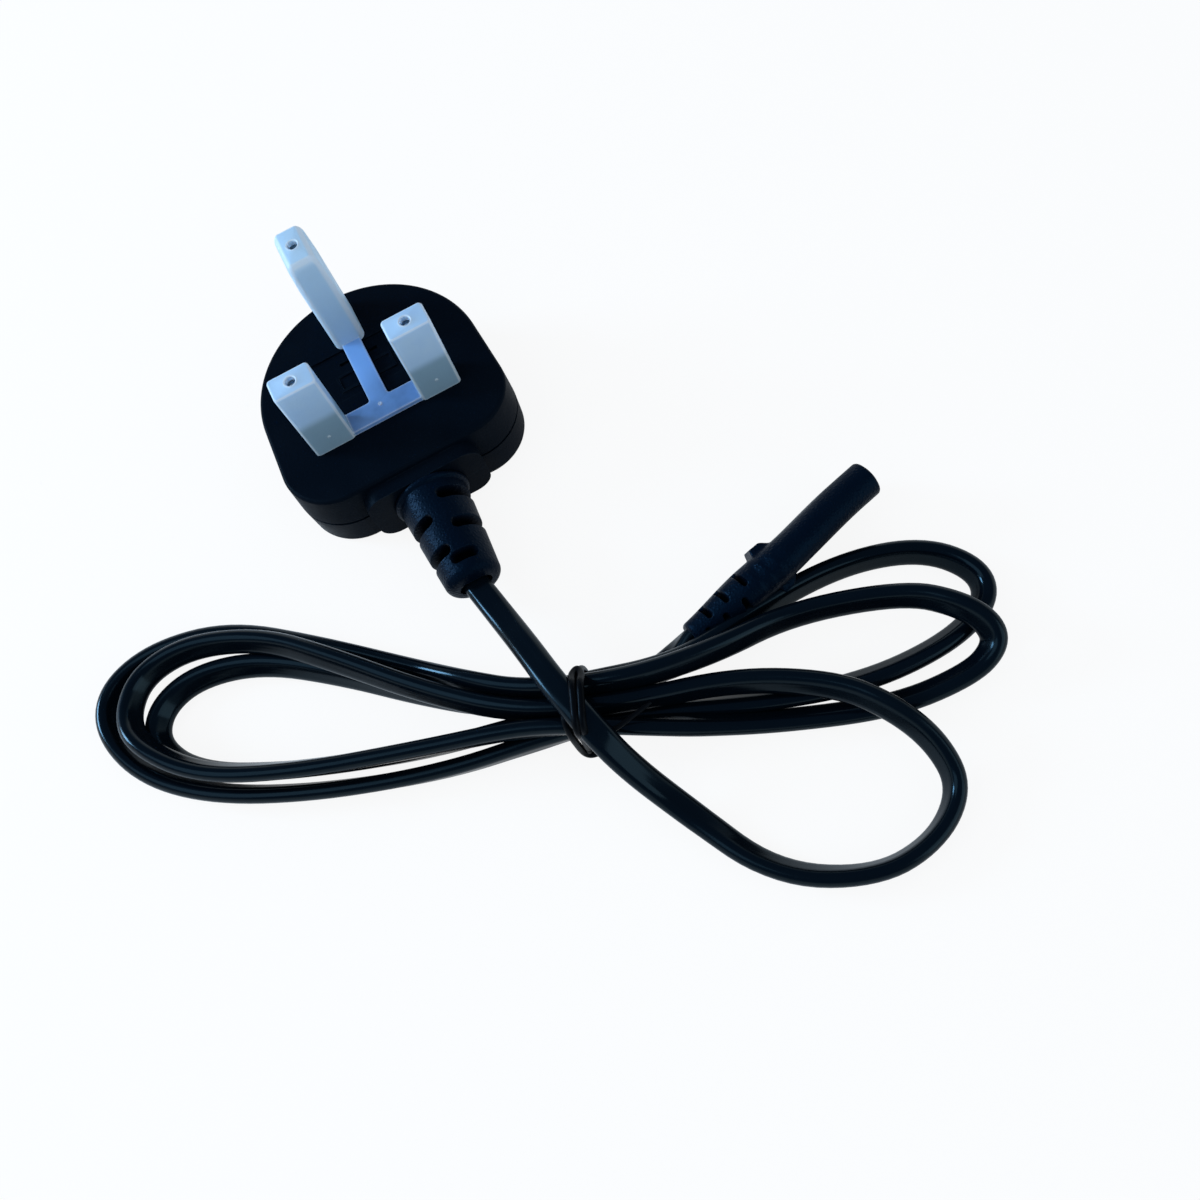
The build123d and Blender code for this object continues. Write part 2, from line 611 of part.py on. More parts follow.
# Connector: nose, grip with two wings and slotted relief in one moulding round the insert and the cores
with BuildPart() as connector_body:
    with BuildSketch(nose_plane):
        with GridLocations(nose_width - nose_thickness, 0, 2, 1):
            Circle(nose_thickness / 2)
        Rectangle(nose_width - nose_thickness, nose_waist)
    extrude(amount=nose_length)
    with BuildSketch(nose_plane.offset(grip_start)):
        SlotOverall(grip_width, grip_thickness)
    extrude(amount=grip_length)
    with BuildSketch(nose_plane.offset(wing_start)):
        RectangleRounded(wing_width, wing_thickness, wing_edge)
    extrude(amount=wing_length)
    with BuildSketch(nose_plane.offset(relief_start)):
        SlotOverall(relief_root_width, relief_root_thickness)
    with BuildSketch(nose_plane.offset(relief_end.Z)):
        with Locations((relief_end.X, relief_end.Y)):
            SlotOverall(relief_end_width, relief_end_thickness)
    loft()
    for index, distance in enumerate(relief_slots):
        share = (distance - relief_start) / (relief_end.Z - relief_start)
        half = (relief_root_thickness + share * (relief_end_thickness - relief_root_thickness)) / 2
        side = 1 if index % 2 == 0 else -1
        with BuildSketch(nose_plane.offset(distance)):
            with Locations((0, share * relief_end.Y + side * half)):
                Rectangle(relief_root_width, 2 * relief_slot_depth)
        extrude(amount=relief_slot_width / 2, both=True, mode=Mode.SUBTRACT)
    with BuildSketch(nose_plane):
        SlotOverall(insert_width, insert_thickness)
    extrude(amount=insert_length, mode=Mode.SUBTRACT)
    for side in (-1, 1):
        with BuildLine() as core_line:
            Line(nose_plane.from_local_coords((side * contact_spacing / 2, 0, insert_length)),
                 nose_plane.from_local_coords((relief_end.X + side * core_offset, relief_end.Y,
                                               relief_end.Z)))
        with BuildSketch(Plane(origin=core_line.line @ 0, z_dir=core_line.line % 0)):
            Circle(connector_core_radius + connector_core_clearance)
        sweep(path=core_line.wires()[0], mode=Mode.SUBTRACT)
connector_body.part.label = "connector_body"
export_step(connector_body.part, "parts/connector_body.step")

with BuildPart() as connector_insert:
    with BuildSketch(nose_plane):
        SlotOverall(insert_width, insert_thickness)
        with GridLocations(contact_spacing, 0, 2, 1):
            Circle(contact_bore, mode=Mode.SUBTRACT)
    extrude(amount=insert_length)
    with BuildSketch(nose_plane.offset(contact_recess)):
        with GridLocations(contact_spacing, 0, 2, 1):
            Circle(contact_bore + contact_wall)
    extrude(amount=insert_length - contact_recess, mode=Mode.SUBTRACT)
connector_insert.part.label = "connector_insert"
export_step(connector_insert.part, "parts/connector_insert.step")

# Contacts in the insert, and the cores behind them
for name, side in (("line", -1), ("neutral", 1)):
    with BuildPart() as contact:
        with BuildSketch(nose_plane.offset(contact_recess)):
            with Locations((side * contact_spacing / 2, 0)):
                Circle(contact_bore + contact_wall)
        extrude(amount=insert_length - contact_recess)
        with BuildSketch(nose_plane.offset(contact_recess)):
            with Locations((side * contact_spacing / 2, 0)):
                Circle(contact_bore)
        extrude(amount=contact_depth, mode=Mode.SUBTRACT)
    contact.part.label = name + "_contact"
    export_step(contact.part, "parts/" + name + "_contact.step")

    with BuildPart() as connector_core:
        with BuildLine() as core_line:
            Line(nose_plane.from_local_coords((side * contact_spacing / 2, 0, insert_length)),
                 nose_plane.from_local_coords((relief_end.X + side * core_offset, relief_end.Y,
                                               relief_end.Z)))
        with BuildSketch(Plane(origin=core_line.line @ 0, z_dir=core_line.line % 0)):
            Circle(connector_core_radius)
        sweep()
    connector_core.part.label = "connector_" + name + "_core"
    export_step(connector_core.part, "parts/connector_" + name + "_core.step")
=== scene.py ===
import json
import math
import bmesh
import bpy
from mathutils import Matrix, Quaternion, Vector


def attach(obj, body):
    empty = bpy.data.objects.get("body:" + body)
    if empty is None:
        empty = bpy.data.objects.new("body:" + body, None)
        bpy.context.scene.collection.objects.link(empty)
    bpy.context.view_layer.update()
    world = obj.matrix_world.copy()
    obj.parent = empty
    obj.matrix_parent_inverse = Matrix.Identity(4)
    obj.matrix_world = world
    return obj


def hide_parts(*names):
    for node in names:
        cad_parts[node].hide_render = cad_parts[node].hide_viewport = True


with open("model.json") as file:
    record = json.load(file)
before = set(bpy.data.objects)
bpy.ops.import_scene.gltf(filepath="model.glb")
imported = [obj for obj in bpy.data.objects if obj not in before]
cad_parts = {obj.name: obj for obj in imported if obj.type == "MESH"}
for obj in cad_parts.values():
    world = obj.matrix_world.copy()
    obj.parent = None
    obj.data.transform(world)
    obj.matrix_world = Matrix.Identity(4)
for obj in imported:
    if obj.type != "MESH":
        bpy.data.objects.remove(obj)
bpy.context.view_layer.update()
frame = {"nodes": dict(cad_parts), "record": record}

nodes = frame["nodes"]
scene = bpy.context.scene
print("frame loaded:", len(nodes), "nodes")


# Helpers for meshes and node trees
def linked(obj):
    scene.collection.objects.link(obj)
    return obj


def meshPiece(name, points, faces, smoothAngle=None):
    mesh = bpy.data.meshes.new(name)
    mesh.from_pydata([tuple(p) for p in points], [], faces)
    mesh.update()
    if smoothAngle is not None:
        mesh.shade_smooth()
        mesh.set_sharp_from_angle(angle=math.radians(smoothAngle))
    return linked(bpy.data.objects.new(name, mesh))


def facesOutward(mesh):
    bm = bmesh.new()
    bm.from_mesh(mesh)
    bmesh.ops.recalc_face_normals(bm, faces=bm.faces)
    bm.to_mesh(mesh)
    bm.free()


def ringSkin(name, rings, closed=False, smoothAngle=40):
    # one quad strip between each ring and the next, with the two ends capped or joined
    count = len(rings[0])
    total = len(rings)
    faces = []
    for r in range(total if closed else total - 1):
        a, b = r * count, (r + 1) % total * count
        for k in range(count):
            n = (k + 1) % count
            faces.append((a + k, a + n, b + n, b + k))
    if not closed:
        faces.append(tuple(reversed(range(count))))
        faces.append(tuple(range((total - 1) * count, total * count)))
    piece = meshPiece(name, [p for ring in rings for p in ring], faces, smoothAngle)
    facesOutward(piece.data)
    return piece


def smoothStep(low, high, value):
    t = min(max((value - low) / (high - low), 0.0), 1.0)
    return t * t * (3 - 2 * t)


def tableValue(table, at):
    # eased value between the rows of a small table
    for (a, first), (b, second) in zip(table, table[1:]):
        if at <= b:
            return first + (second - first) * smoothStep(a, b, at)
    return table[-1][1]


def slotDepth(slots, along, angle, radius, look):
    # how far a slotted relief is cut in at a place on its surface; slots have round ends
    deepest = 0.0
    for place, start, end in slots:
        middle, half = math.radians((start + end) / 2), math.radians((end - start) / 2)
        turn = (angle - middle + math.pi) % (2 * math.pi) - math.pi
        past = max((abs(turn) - half) * radius + look["slotWidth"] / 2, 0.0)
        away = math.hypot(past, along - place) - look["slotWidth"] / 2
        deepest = max(deepest, 1 - smoothStep(-look["slotEdge"], look["slotEdge"], away))
    return deepest * look["slotDepth"]


def lobedReach(spread, radius, angle):
    # distance from the middle to the outline of a long round section
    across = abs(math.sin(angle))
    if across > 1e-6 and radius * abs(math.cos(angle)) / across <= spread:
        return radius / across
    return spread * abs(math.cos(angle)) + math.sqrt(max(radius ** 2 - (spread * across) ** 2, 0.0))


def turns(count):
    # evenly spaced angles once round
    return [2 * math.pi * k / count for k in range(count)]


def markCuts(piece, cuts):
    # share of each point's depth in a slot, read by the material for the painted shade in the slots
    layer = piece.data.attributes.new("cut", "FLOAT", "POINT")
    layer.data.foreach_set("value", cuts + [0.0] * (len(piece.data.vertices) - len(cuts)))


def stands(piece, body, node):
    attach(piece, body)
    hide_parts(node)


def addNode(tree, kind, **sockets):
    node = tree.nodes.new(kind)
    for key, value in sockets.items():
        node.inputs[key].default_value = value
    return node


# Camera at the photo's place
cameraView = {
    "place": (0.01229, -0.14094, 0.19352),
    "lookAt": (0.018118, -0.057976, 0.008),
    "roll": -24.605,
    "lens": 34.65,
    "sensor": 36.0,
    "clipStart": 0.01,
}
cameraData = bpy.data.cameras.new("camera")
cameraData.lens = cameraView["lens"]
cameraData.sensor_width = cameraView["sensor"]
cameraData.clip_start = cameraView["clipStart"]
camera = linked(bpy.data.objects.new("camera", cameraData))
camera.location = cameraView["place"]
sight = Vector(cameraView["lookAt"]) - Vector(cameraView["place"])
camera.rotation_mode = "QUATERNION"
camera.rotation_quaternion = sight.to_track_quat("-Z", "Y") @ Quaternion(
    (0, 0, 1), math.radians(cameraView["roll"]))
scene.camera = camera
bpy.context.view_layer.update()
print("camera right", [round(v, 4) for v in camera.matrix_world.col[0][:3]])


# Cord: the route's points with the lean of the flat section at each, in degrees off upright
cordLook = {
    "width": 0.005,
    "thickness": 0.0029,
    "ring": 28,
    "steps": 8,
    "inside": 0.003, "insideEnd": 0.0012,  # how far the sheath runs on into the strain relief and the connector
}
cordRoute = [
    # lead out of the plug, over the hank and round the large loop
    (0, -0.0439, 0.0083, 90), (0.0014, -0.0516, 0.0085, 90), (0.003, -0.0608, 0.0116, 90),
    (0.0044, -0.0705, 0.0143, 90), (0.0066, -0.0802, 0.0146, 88), (0.009, -0.0875, 0.0092, 80),
    (0.014, -0.097, 0.0026, 68),
    (0.0215, -0.1128, 0.0026, 40), (0.0353, -0.1208, 0.0026, 24), (0.0467, -0.1203, 0.0026, 20),
    (0.0545, -0.1149, 0.0026, 24), (0.0547, -0.1073, 0.0054, 28), (0.0512, -0.0998, 0.009, 30),
    (0.0454, -0.0916, 0.0086, 30), (0.0318, -0.0825, 0.0076, 22), (0.0138, -0.0773, 0.0087, 10),
    # middle left loop
    (-0.0028, -0.0702, 0.0087, 10), (-0.0161, -0.0582, 0.008, 22), (-0.0297, -0.0427, 0.0078, 30),
    (-0.03978, -0.03181, 0.006, 30), (-0.05296, -0.02535, 0.0056, 32), (-0.0636, -0.02587, 0.0054, 32),
    (-0.06867, -0.03224, 0.0058, 32), (-0.06743, -0.0403, 0.008, 32), (-0.0588, -0.0509, 0.0078, 30),
    (-0.043, -0.059, 0.0078, 22), (-0.022, -0.0664, 0.0078, 12), (-0.003, -0.0727, 0.0087, 4),
    # second right loop
    (0.01076, -0.08029, 0.0086, 20), (0.02148, -0.08533, 0.0056, 44), (0.03484, -0.09107, 0.0025, 48),
    (0.05266, -0.09827, 0.0026, 48), (0.06621, -0.09978, 0.0036, 48), (0.07169, -0.09813, 0.0054, 44),
    (0.0725, -0.09492, 0.0076, 36), (0.0699, -0.08997, 0.009, 28), (0.0637, -0.0832, 0.0078, 20),
    (0.0458, -0.0763, 0.0062, 22), (0.03, -0.0772, 0.0103, 24), (0.015, -0.0746, 0.0112, 18),
    # outer left loop
    (-0.0005, -0.067, 0.0089, 12), (-0.00915, -0.05984, 0.0084, 18), (-0.01733, -0.05061, 0.003, 22),
    (-0.03111, -0.03751, 0.0026, 26), (-0.04592, -0.02506, 0.0026, 30), (-0.06086, -0.0212, 0.0026, 32),
    (-0.07139, -0.024, 0.0026, 32), (-0.07457, -0.03175, 0.0026, 32), (-0.0701, -0.04357, 0.0026, 32),
    (-0.05877, -0.05392, 0.0026, 30), (-0.041, -0.063, 0.0026, 22), (-0.02, -0.0705, 0.0026, 12),
    (-0.003, -0.074, 0.0035, 4),
    # first right loop
    (0.01333, -0.07746, 0.0036, 24), (0.03292, -0.08642, 0.0032, 40), (0.05015, -0.09225, 0.0028, 42),
    (0.0659, -0.0932, 0.0026, 40), (0.07572, -0.09033, 0.0026, 36), (0.07801, -0.08434, 0.0026, 30),
    (0.07234, -0.07631, 0.0026, 22), (0.06015, -0.07175, 0.0026, 18), (0.044, -0.0722, 0.0054, 20),
    (0.0295, -0.075, 0.0064, 46), (0.02, -0.0738, 0.0062, 54), (0.0118, -0.0702, 0.0046, 26),
    # inner left loop and the tail to the connector
    (0.004, -0.067, 0.0035, 6), (-0.00727, -0.0645, 0.003, 10), (-0.01755, -0.05596, 0.0026, 18),
    (-0.03028, -0.04375, 0.0026, 28), (-0.04273, -0.03391, 0.0026, 34), (-0.055, -0.0301, 0.0026, 38),
    (-0.0635, -0.0325, 0.0026, 40), (-0.0665, -0.039, 0.0026, 38), (-0.0609, -0.0479, 0.0026, 34),
    (-0.046, -0.056, 0.0026, 26), (-0.025, -0.0645, 0.0026, 14), (-0.003, -0.0702, 0.0034, 4),
    (0.012, -0.07459, 0.0026, 50), (0.0207, -0.0731, 0.0021, 80), (0.0288, -0.0706, 0.0041, -40),
]


def splinePoints(name, places, steps):
    curve = bpy.data.curves.new(name, "CURVE")
    curve.dimensions = "3D"
    curve.resolution_u = steps
    spline = curve.splines.new("NURBS")
    spline.points.add(len(places) - 1)
    for point, place in zip(spline.points, places):
        point.co = (place[0], place[1], place[2], 1)
    spline.order_u = 3
    spline.use_endpoint_u = True
    line = linked(bpy.data.objects.new(name, curve))
    mesh = bpy.data.meshes.new_from_object(line)
    points = [v.co.copy() for v in mesh.vertices]
    bpy.data.objects.remove(line)
    bpy.data.curves.remove(curve)
    bpy.data.meshes.remove(mesh)
    return points


def stadium(width, thickness, count):
    flat = (width - thickness) / 2
    radius = thickness / 2
    arc = math.pi * radius
    around = 2 * arc + 4 * flat
    ring = []
    for k in range(count):
        s = (k + 0.5) * around / count
        if s < arc:
            a = s / radius
            ring.append((flat + radius * math.sin(a), radius * math.cos(a)))
        elif s < arc + 2 * flat:
            ring.append((flat - (s - arc), -radius))
        elif s < 2 * arc + 2 * flat:
            a = (s - arc - 2 * flat) / radius
            ring.append((-flat - radius * math.sin(a), -radius * math.cos(a)))
        else:
            ring.append((-flat + (s - 2 * arc - 2 * flat), radius))
    return ring


def cordMesh():
    path = splinePoints("cordLine", cordRoute, cordLook["steps"])
    last = len(path) - 1
    leans = [p[3] for p in cordRoute]
    section = stadium(cordLook["width"], cordLook["thickness"], cordLook["ring"])
    rings = []
    for k, centre in enumerate(path):
        heading = (path[min(k + 1, last)] - path[max(k - 1, 0)]).normalized()
        side = heading.cross(Vector((0, 0, 1))).normalized()
        up = side.cross(heading)
        # each span of the spline lies between the middles of two runs, so a lean is read half a point on
        at = min(max(k / last * (len(leans) - 2) + 0.5, 0), len(leans) - 1.001)
        share = at - int(at)
        lean = math.radians(leans[int(at)] * (1 - share) + leans[int(at) + 1] * share)
        wide = up * math.cos(lean) + side * math.sin(lean)
        thin = heading.cross(wide)
        rings.append([centre + wide * a + thin * b for a, b in section])
    back = Vector((0, cordLook["inside"], 0))
    rings.insert(0, [p + back for p in rings[0]])
    ahead = (path[-1] - path[-2]).normalized() * cordLook["insideEnd"]
    rings.append([p + ahead for p in rings[-1]])
    count = cordLook["ring"]
    cord = ringSkin("sheathed_cord", rings)
    # length along the cord and place round it, for the sheath's streaks
    layer = cord.data.uv_layers.new(name="alongRound")
    runs = [0.0]
    for r in range(1, len(rings)):
        runs.append(runs[-1] + (rings[r][0] - rings[r - 1][0]).length)
    for face in cord.data.polygons:
        if len(face.vertices) > 4:
            continue
        low = min(v % count for v in face.vertices)
        wraps = low == 0 and any(v % count == count - 1 for v in face.vertices)
        for loop in face.loop_indices:
            v = cord.data.loops[loop].vertex_index
            k = v % count
            layer.data[loop].uv = (runs[v // count], (k + count if wraps and k == 0 else k) / count)
    return cord, path


cord, cordPath = cordMesh()
stands(cord, "lead", "cord")
cordLength = sum((b - a).length for a, b in zip(cordPath, cordPath[1:]))
print("cord laid:", round(cordLength, 4), "m")


# Plug's strain relief: a bead at its root, staggered slots, a round tip and a mouth round the cord
bushLook = {
    "start": -0.0225, "end": -0.0439, "height": 0.0083,  # its ends along y, its axis above the floor
    "rootRadius": 0.0069, "tipRadius": 0.0053, "tipRound": 0.0018,
    "beadAt": -0.0234, "beadHalf": 0.0006, "beadHeight": 0.00055,
    "mouthSpread": 0.0013, "mouthRadius": 0.0019, "mouthDepth": 0.0026,
    "slotWidth": 0.002, "slotDepth": 0.0019, "slotEdge": 0.00016,
    "slots": [(-0.0270, 12, 150), (-0.0336, 14, 150), (-0.0400, -18, 36), (-0.0308, -150, -14),
              (-0.0376, -150, -10)],  # place along y, from and to in degrees off the top
    "around": 200, "rows": 150, "smoothAngle": 50,
}


def bushRadius(look, y):
    share = (y - look["start"]) / (look["end"] - look["start"])
    radius = look["rootRadius"] + (look["tipRadius"] - look["rootRadius"]) * share
    off = abs(y - look["beadAt"]) / look["beadHalf"]
    if off < 1:
        radius += look["beadHeight"] * math.sqrt(1 - off * off)
    into = (look["end"] + look["tipRound"] - y) / look["tipRound"]
    if into > 0:
        radius -= look["tipRound"] * (1 - math.sqrt(max(1 - into * into, 0.0)))
    return radius


def bushRing(look, y, radius, cuts):
    ring = []
    for angle in turns(look["around"]):
        depth = slotDepth(look["slots"], y, angle, radius, look)
        cuts.append(depth / look["slotDepth"])
        r = radius - depth
        ring.append((r * math.sin(angle), y, look["height"] + r * math.cos(angle)))
    return ring


def bushMesh(look):
    rings, cuts = [], []
    for j in range(look["rows"] + 1):
        y = look["start"] + (look["end"] - look["start"]) * j / look["rows"]
        rings.append(bushRing(look, y, bushRadius(look, y), cuts))
    for y in (look["end"], look["end"] + look["mouthDepth"]):
        ring = []
        for angle in turns(look["around"]):
            r = lobedReach(look["mouthSpread"], look["mouthRadius"], angle - math.pi / 2)
            ring.append((r * math.sin(angle), y, look["height"] + r * math.cos(angle)))
        rings.append(ring)
    piece = ringSkin("slotted_strain_relief", rings, smoothAngle=look["smoothAngle"])
    markCuts(piece, cuts)
    return piece


bush = bushMesh(bushLook)
stands(bush, "lead", "plug_strain_relief")
print("strain relief cut:", len(bushLook["slots"]), "slots")


# Connector: one soft moulding with a two-lobed nose, a wing on each flat side and a slotted relief
connectorLook = {
    "tip": (0.069, -0.0612, 0.00655), "axis": (0.9713, 0.2387, 0.0), "wide": (0.0808, -0.3287, 0.941),
    "length": 0.0411, "reliefStart": 0.0275,
    "droop": -0.00248,  # how far the relief's end lies below the nose's middle
    "sway": 0.0008, "swayOver": (0.004, 0.022),  # how far the rear stands off towards -y, and where that sets in
    # distance behind the tip, and half of the lobes' spacing, the lobes' radius and the waist's pinch there
    "spread": [(0, 0.0032), (0.0205, 0.00315), (0.0228, 0.0029), (0.0250, 0.0022), (0.0268, 0.0016),
               (0.0411, 0.0008)],
    "radius": [(0, 0.0034), (0.005, 0.0034), (0.0165, 0.0034), (0.0222, 0.0035), (0.0262, 0.0036),
               (0.0275, 0.0036), (0.0411, 0.0027)],
    "pinch": [(0, 0.00045), (0.0175, 0.00045), (0.0205, 0.0), (0.0411, 0.0)],
    "pinchHalf": 0.0016,
    "tipRound": 0.0006, "endRound": 0.0009,
    "wingHeight": 0.0013, "wingFront": (0.0204, 0.0225), "wingBack": (0.0243, 0.0248), "wingSide": (0.0023, 0.0029),
    "slotWidth": 0.0009, "slotDepth": 0.0008, "slotEdge": 0.00014,
    "slots": [(0.0292, -84, -8), (0.0332, -84, -8), (0.0369, -84, -8), (0.0311, 8, 150), (0.035, 8, 150),
              (0.0387, 8, 150)],  # place behind the tip, from and to in degrees off the top
    "insertSpread": 0.0035, "insertRadius": 0.00263, "insertDepth": 0.0141, "insertLip": 0.0003,
    "mouthSpread": 0.0011, "mouthRadius": 0.0016, "mouthDepth": 0.002,
    "around": 216, "rows": 220, "smoothAngle": 50,
}


def connectorRing(look, frameOf, back, spread, radius, shaped, cuts):
    tip, axis, wide, flat = frameOf
    share = max(back - look["reliefStart"], 0.0) / (look["length"] - look["reliefStart"])
    swing = smoothStep(*look["swayOver"], back)
    sideways = Vector((axis.y, -axis.x, 0))
    centre = tip - axis * back + wide * (look["droop"] * share) + sideways * (look["sway"] * swing)
    ring = []
    for angle in turns(look["around"]):
        reach = lobedReach(spread, radius, angle)
        depth = slotDepth(look["slots"], back, angle, radius, look) if shaped else 0.0
        cuts.append(depth / look["slotDepth"])
        reach -= depth
        w, n = reach * math.cos(angle), reach * math.sin(angle)
        if shaped:
            side = math.copysign(1.0, n)
            waist = math.exp(-(w / look["pinchHalf"]) ** 2) * abs(math.sin(angle))
            n -= side * tableValue(look["pinch"], back) * waist
            rise = smoothStep(*look["wingFront"], back) * (1 - smoothStep(*look["wingBack"], back))
            n += side * look["wingHeight"] * rise * (1 - smoothStep(*look["wingSide"], abs(w)))
        ring.append(centre + wide * w + flat * n)
    return ring


def connectorMesh(look):
    axis = Vector(look["axis"]).normalized()
    wide = Vector(look["wide"]).normalized()
    frameOf = (Vector(look["tip"]), axis, wide, axis.cross(wide))
    cuts = []
    rings = [connectorRing(look, frameOf, back, look["insertSpread"], look["insertRadius"], False, cuts)
             for back in (look["insertDepth"], look["insertLip"])]
    for j in range(look["rows"] + 1):
        back = look["length"] * j / look["rows"]
        radius = tableValue(look["radius"], back)
        for into, edge in ((look["tipRound"] - back, look["tipRound"]),
                           (back - look["length"] + look["endRound"], look["endRound"])):
            if into > 0:
                radius -= edge * (1 - math.sqrt(max(1 - (into / edge) ** 2, 0.0)))
        rings.append(connectorRing(look, frameOf, back, tableValue(look["spread"], back), radius, True, cuts))
    for back in (look["length"], look["length"] - look["mouthDepth"]):
        rings.append(connectorRing(look, frameOf, back, look["mouthSpread"], look["mouthRadius"], False, cuts))
    piece = ringSkin("connector_moulding", rings, smoothAngle=look["smoothAngle"])
    markCuts(piece, cuts)
    return piece


connectorBody = connectorMesh(connectorLook)
stands(connectorBody, "lead", "connector_body")
print("connector moulded:", len(connectorBody.data.polygons), "faces")


# Wire tie: a folded wire over the lead, the turn behind the hank, a wire down the near side and a free end
tieLook = {
    "centre": (0.0057, -0.0734), "along": (0.924, -0.383), "across": (0.383, 0.924),
    "radius": 0.00066, "freeRadius": 0.00042, "ring": 14, "steps": 6,
    "endShares": (0.55, 0.9, 1.0),  # share of the radius at the first rings from either end, which rounds it over
    # each wire's points: along the hank, across it and above the floor, in mm
    "wires": [
        [(0.8, -6.0, 0.8), (1.0, -6.1, 5), (1.3, -6.3, 11), (1.3, -6.9, 15.6), (1.25, -5.0, 17.1), (1.2, -2, 17),
         (1.1, 1.0, 17), (0.9, 2.4, 15.4), (0.7, 3.8, 14.0), (1.5, 5.2, 12.8), (2.3, 3.8, 14.0), (2.4, 2.4, 15.4),
         (2.45, 1.0, 17), (2.45, -2, 17), (2.4, -5.0, 17.1), (2.4, -6.9, 15.6), (2.4, -6.3, 11), (2.2, -6.1, 5),
         (2.0, -6.0, 0.8)],
        [(1.4, 2.4, 14.2), (1.4, 4.4, 12.4), (1.4, 6.2, 9.4), (1.4, 7.3, 6.2), (1.3, 7.6, 0.75), (1.0, 4.0, 0.7),
         (0.8, -2.0, 0.7), (0.8, -6.2, 0.7), (0.9, -6.4, 3.0)],
        [(-1.2, 0.6, 12.0), (-1.3, -1.6, 12.2), (-1.3, -3.6, 12.4), (-0.8, -5.5, 10.6), (-0.6, -5.9, 6.0),
         (-0.4, -6.1, 2.2), (0.3, -6.5, 0.8), (1.4, -6.6, 0.7), (2.9, -6.1, 0.7), (4.0, -4.9, 0.7), (3.2, -3.6, 0.7)],
        [(5.0, -6.6, 12.0), (7.2, -5.9, 12.1), (10.0, -4.0, 11.9), (13.2, -2.0, 11.7)],
    ],
}


def wireTube(look, places, wire):
    centre = Vector((*look["centre"], 0))
    along, across = Vector((*look["along"], 0)), Vector((*look["across"], 0))
    millimetre = 0.001
    line = splinePoints("tieLine", [centre + (along * u + across * v + Vector((0, 0, z))) * millimetre
                                    for u, v, z in places], look["steps"])
    rings = []
    side = None
    for k, point in enumerate(line):
        heading = (line[min(k + 1, len(line) - 1)] - line[max(k - 1, 0)]).normalized()
        side = heading.orthogonal() if side is None else side - heading * side.dot(heading)
        side.normalize()
        other = heading.cross(side)
        fromEnd = min(k, len(line) - 1 - k, len(look["endShares"]) - 1)
        radius = wire * look["endShares"][fromEnd]
        rings.append([point + (side * math.cos(a) + other * math.sin(a)) * radius for a in turns(look["ring"])])
    return rings


def tieMesh(look):
    radii = [look["radius"]] * (len(look["wires"]) - 1) + [look["freeRadius"]]
    tubes = [ringSkin("tieTube", wireTube(look, places, radius)) for places, radius in zip(look["wires"], radii)]
    bm = bmesh.new()
    for tube in tubes:
        bm.from_mesh(tube.data)
        bpy.data.meshes.remove(tube.data)
    mesh = bpy.data.meshes.new("wire_tie")
    bm.to_mesh(mesh)
    bm.free()
    mesh.shade_smooth()
    return linked(bpy.data.objects.new("wire_tie", mesh))


tie = tieMesh(tieLook)
stands(tie, "lead", "cord_tie")
print("tie wrapped:", len(tieLook["wires"]), "wires")


# Pin cover: three thin caps with a hole in each roof, joined by a flat T
coverShape = {
    "base": 0.01663, "pinLine": -0.0066, "pinX": 0.0111, "earthY": 0.0156,
    "pinCap": {"half": (0.00404, 0.0025), "height": 0.0191, "corner": 0.0008, "topEdge": 0.0005, "topRise": 0.0005,
               "taper": 0.0, "cavity": (0.00328, 0.0021), "cavityHeight": 0.0181},
    "earthCap": {"half": (0.0031, 0.00505), "height": 0.02413, "corner": 0.0016, "topEdge": 0.0013, "topRise": 0.0024,
                 "taper": 0.0002, "cavity": (0.0021, 0.0041), "cavityHeight": 0.02313},
    "taperFrom": 0.7, "lipRise": 0.6,  # shares of a cap's height and of the lip's width
    "hole": 0.00095, "holeLip": 0.00022, "cavityCorner": 0.00025, "leastCorner": 0.0002, "corners": 9, "edgeSteps": 5,
    "bridge": 0.001, "bridgeEdge": 0.00018, "bridgeRound": 0.3, "stem": 0.0019, "stemEnd": 0.011, "barEnd": 0.0074,
    "barFront": -0.0088, "barBack": -0.0042, "inCorner": 0.0006, "inSteps": 5,
    # pip and gate stub: radius and place, then heights off the surface with the share of the radius at each
    "pip": 0.00032, "pipAt": 0.0039,
    "pipProfile": [(-0.00015, 1.0), (0.00005, 1.0), (0.00014, 0.75), (0.00018, 0.3)],
    "gate": 0.0004, "gateAt": (-0.0003, -0.0057),
    "gateProfile": [(-0.0003, 1.0), (0.0001, 0.95), (0.00022, 0.7), (0.00014, 0.3)],
    "dotSides": 16, "smoothAngle": 35,
}


def roundedRing(centre, half, corner, z, count):
    ring = []
    for quarter in range(4):
        sx = 1 if quarter in (0, 3) else -1
        sy = 1 if quarter in (0, 1) else -1
        for j in range(count + 1):
            a = math.radians(90 * (quarter + j / count))
            ring.append((centre[0] + sx * (half[0] - corner) + corner * math.cos(a),
                         centre[1] + sy * (half[1] - corner) + corner * math.sin(a), z))
    return ring


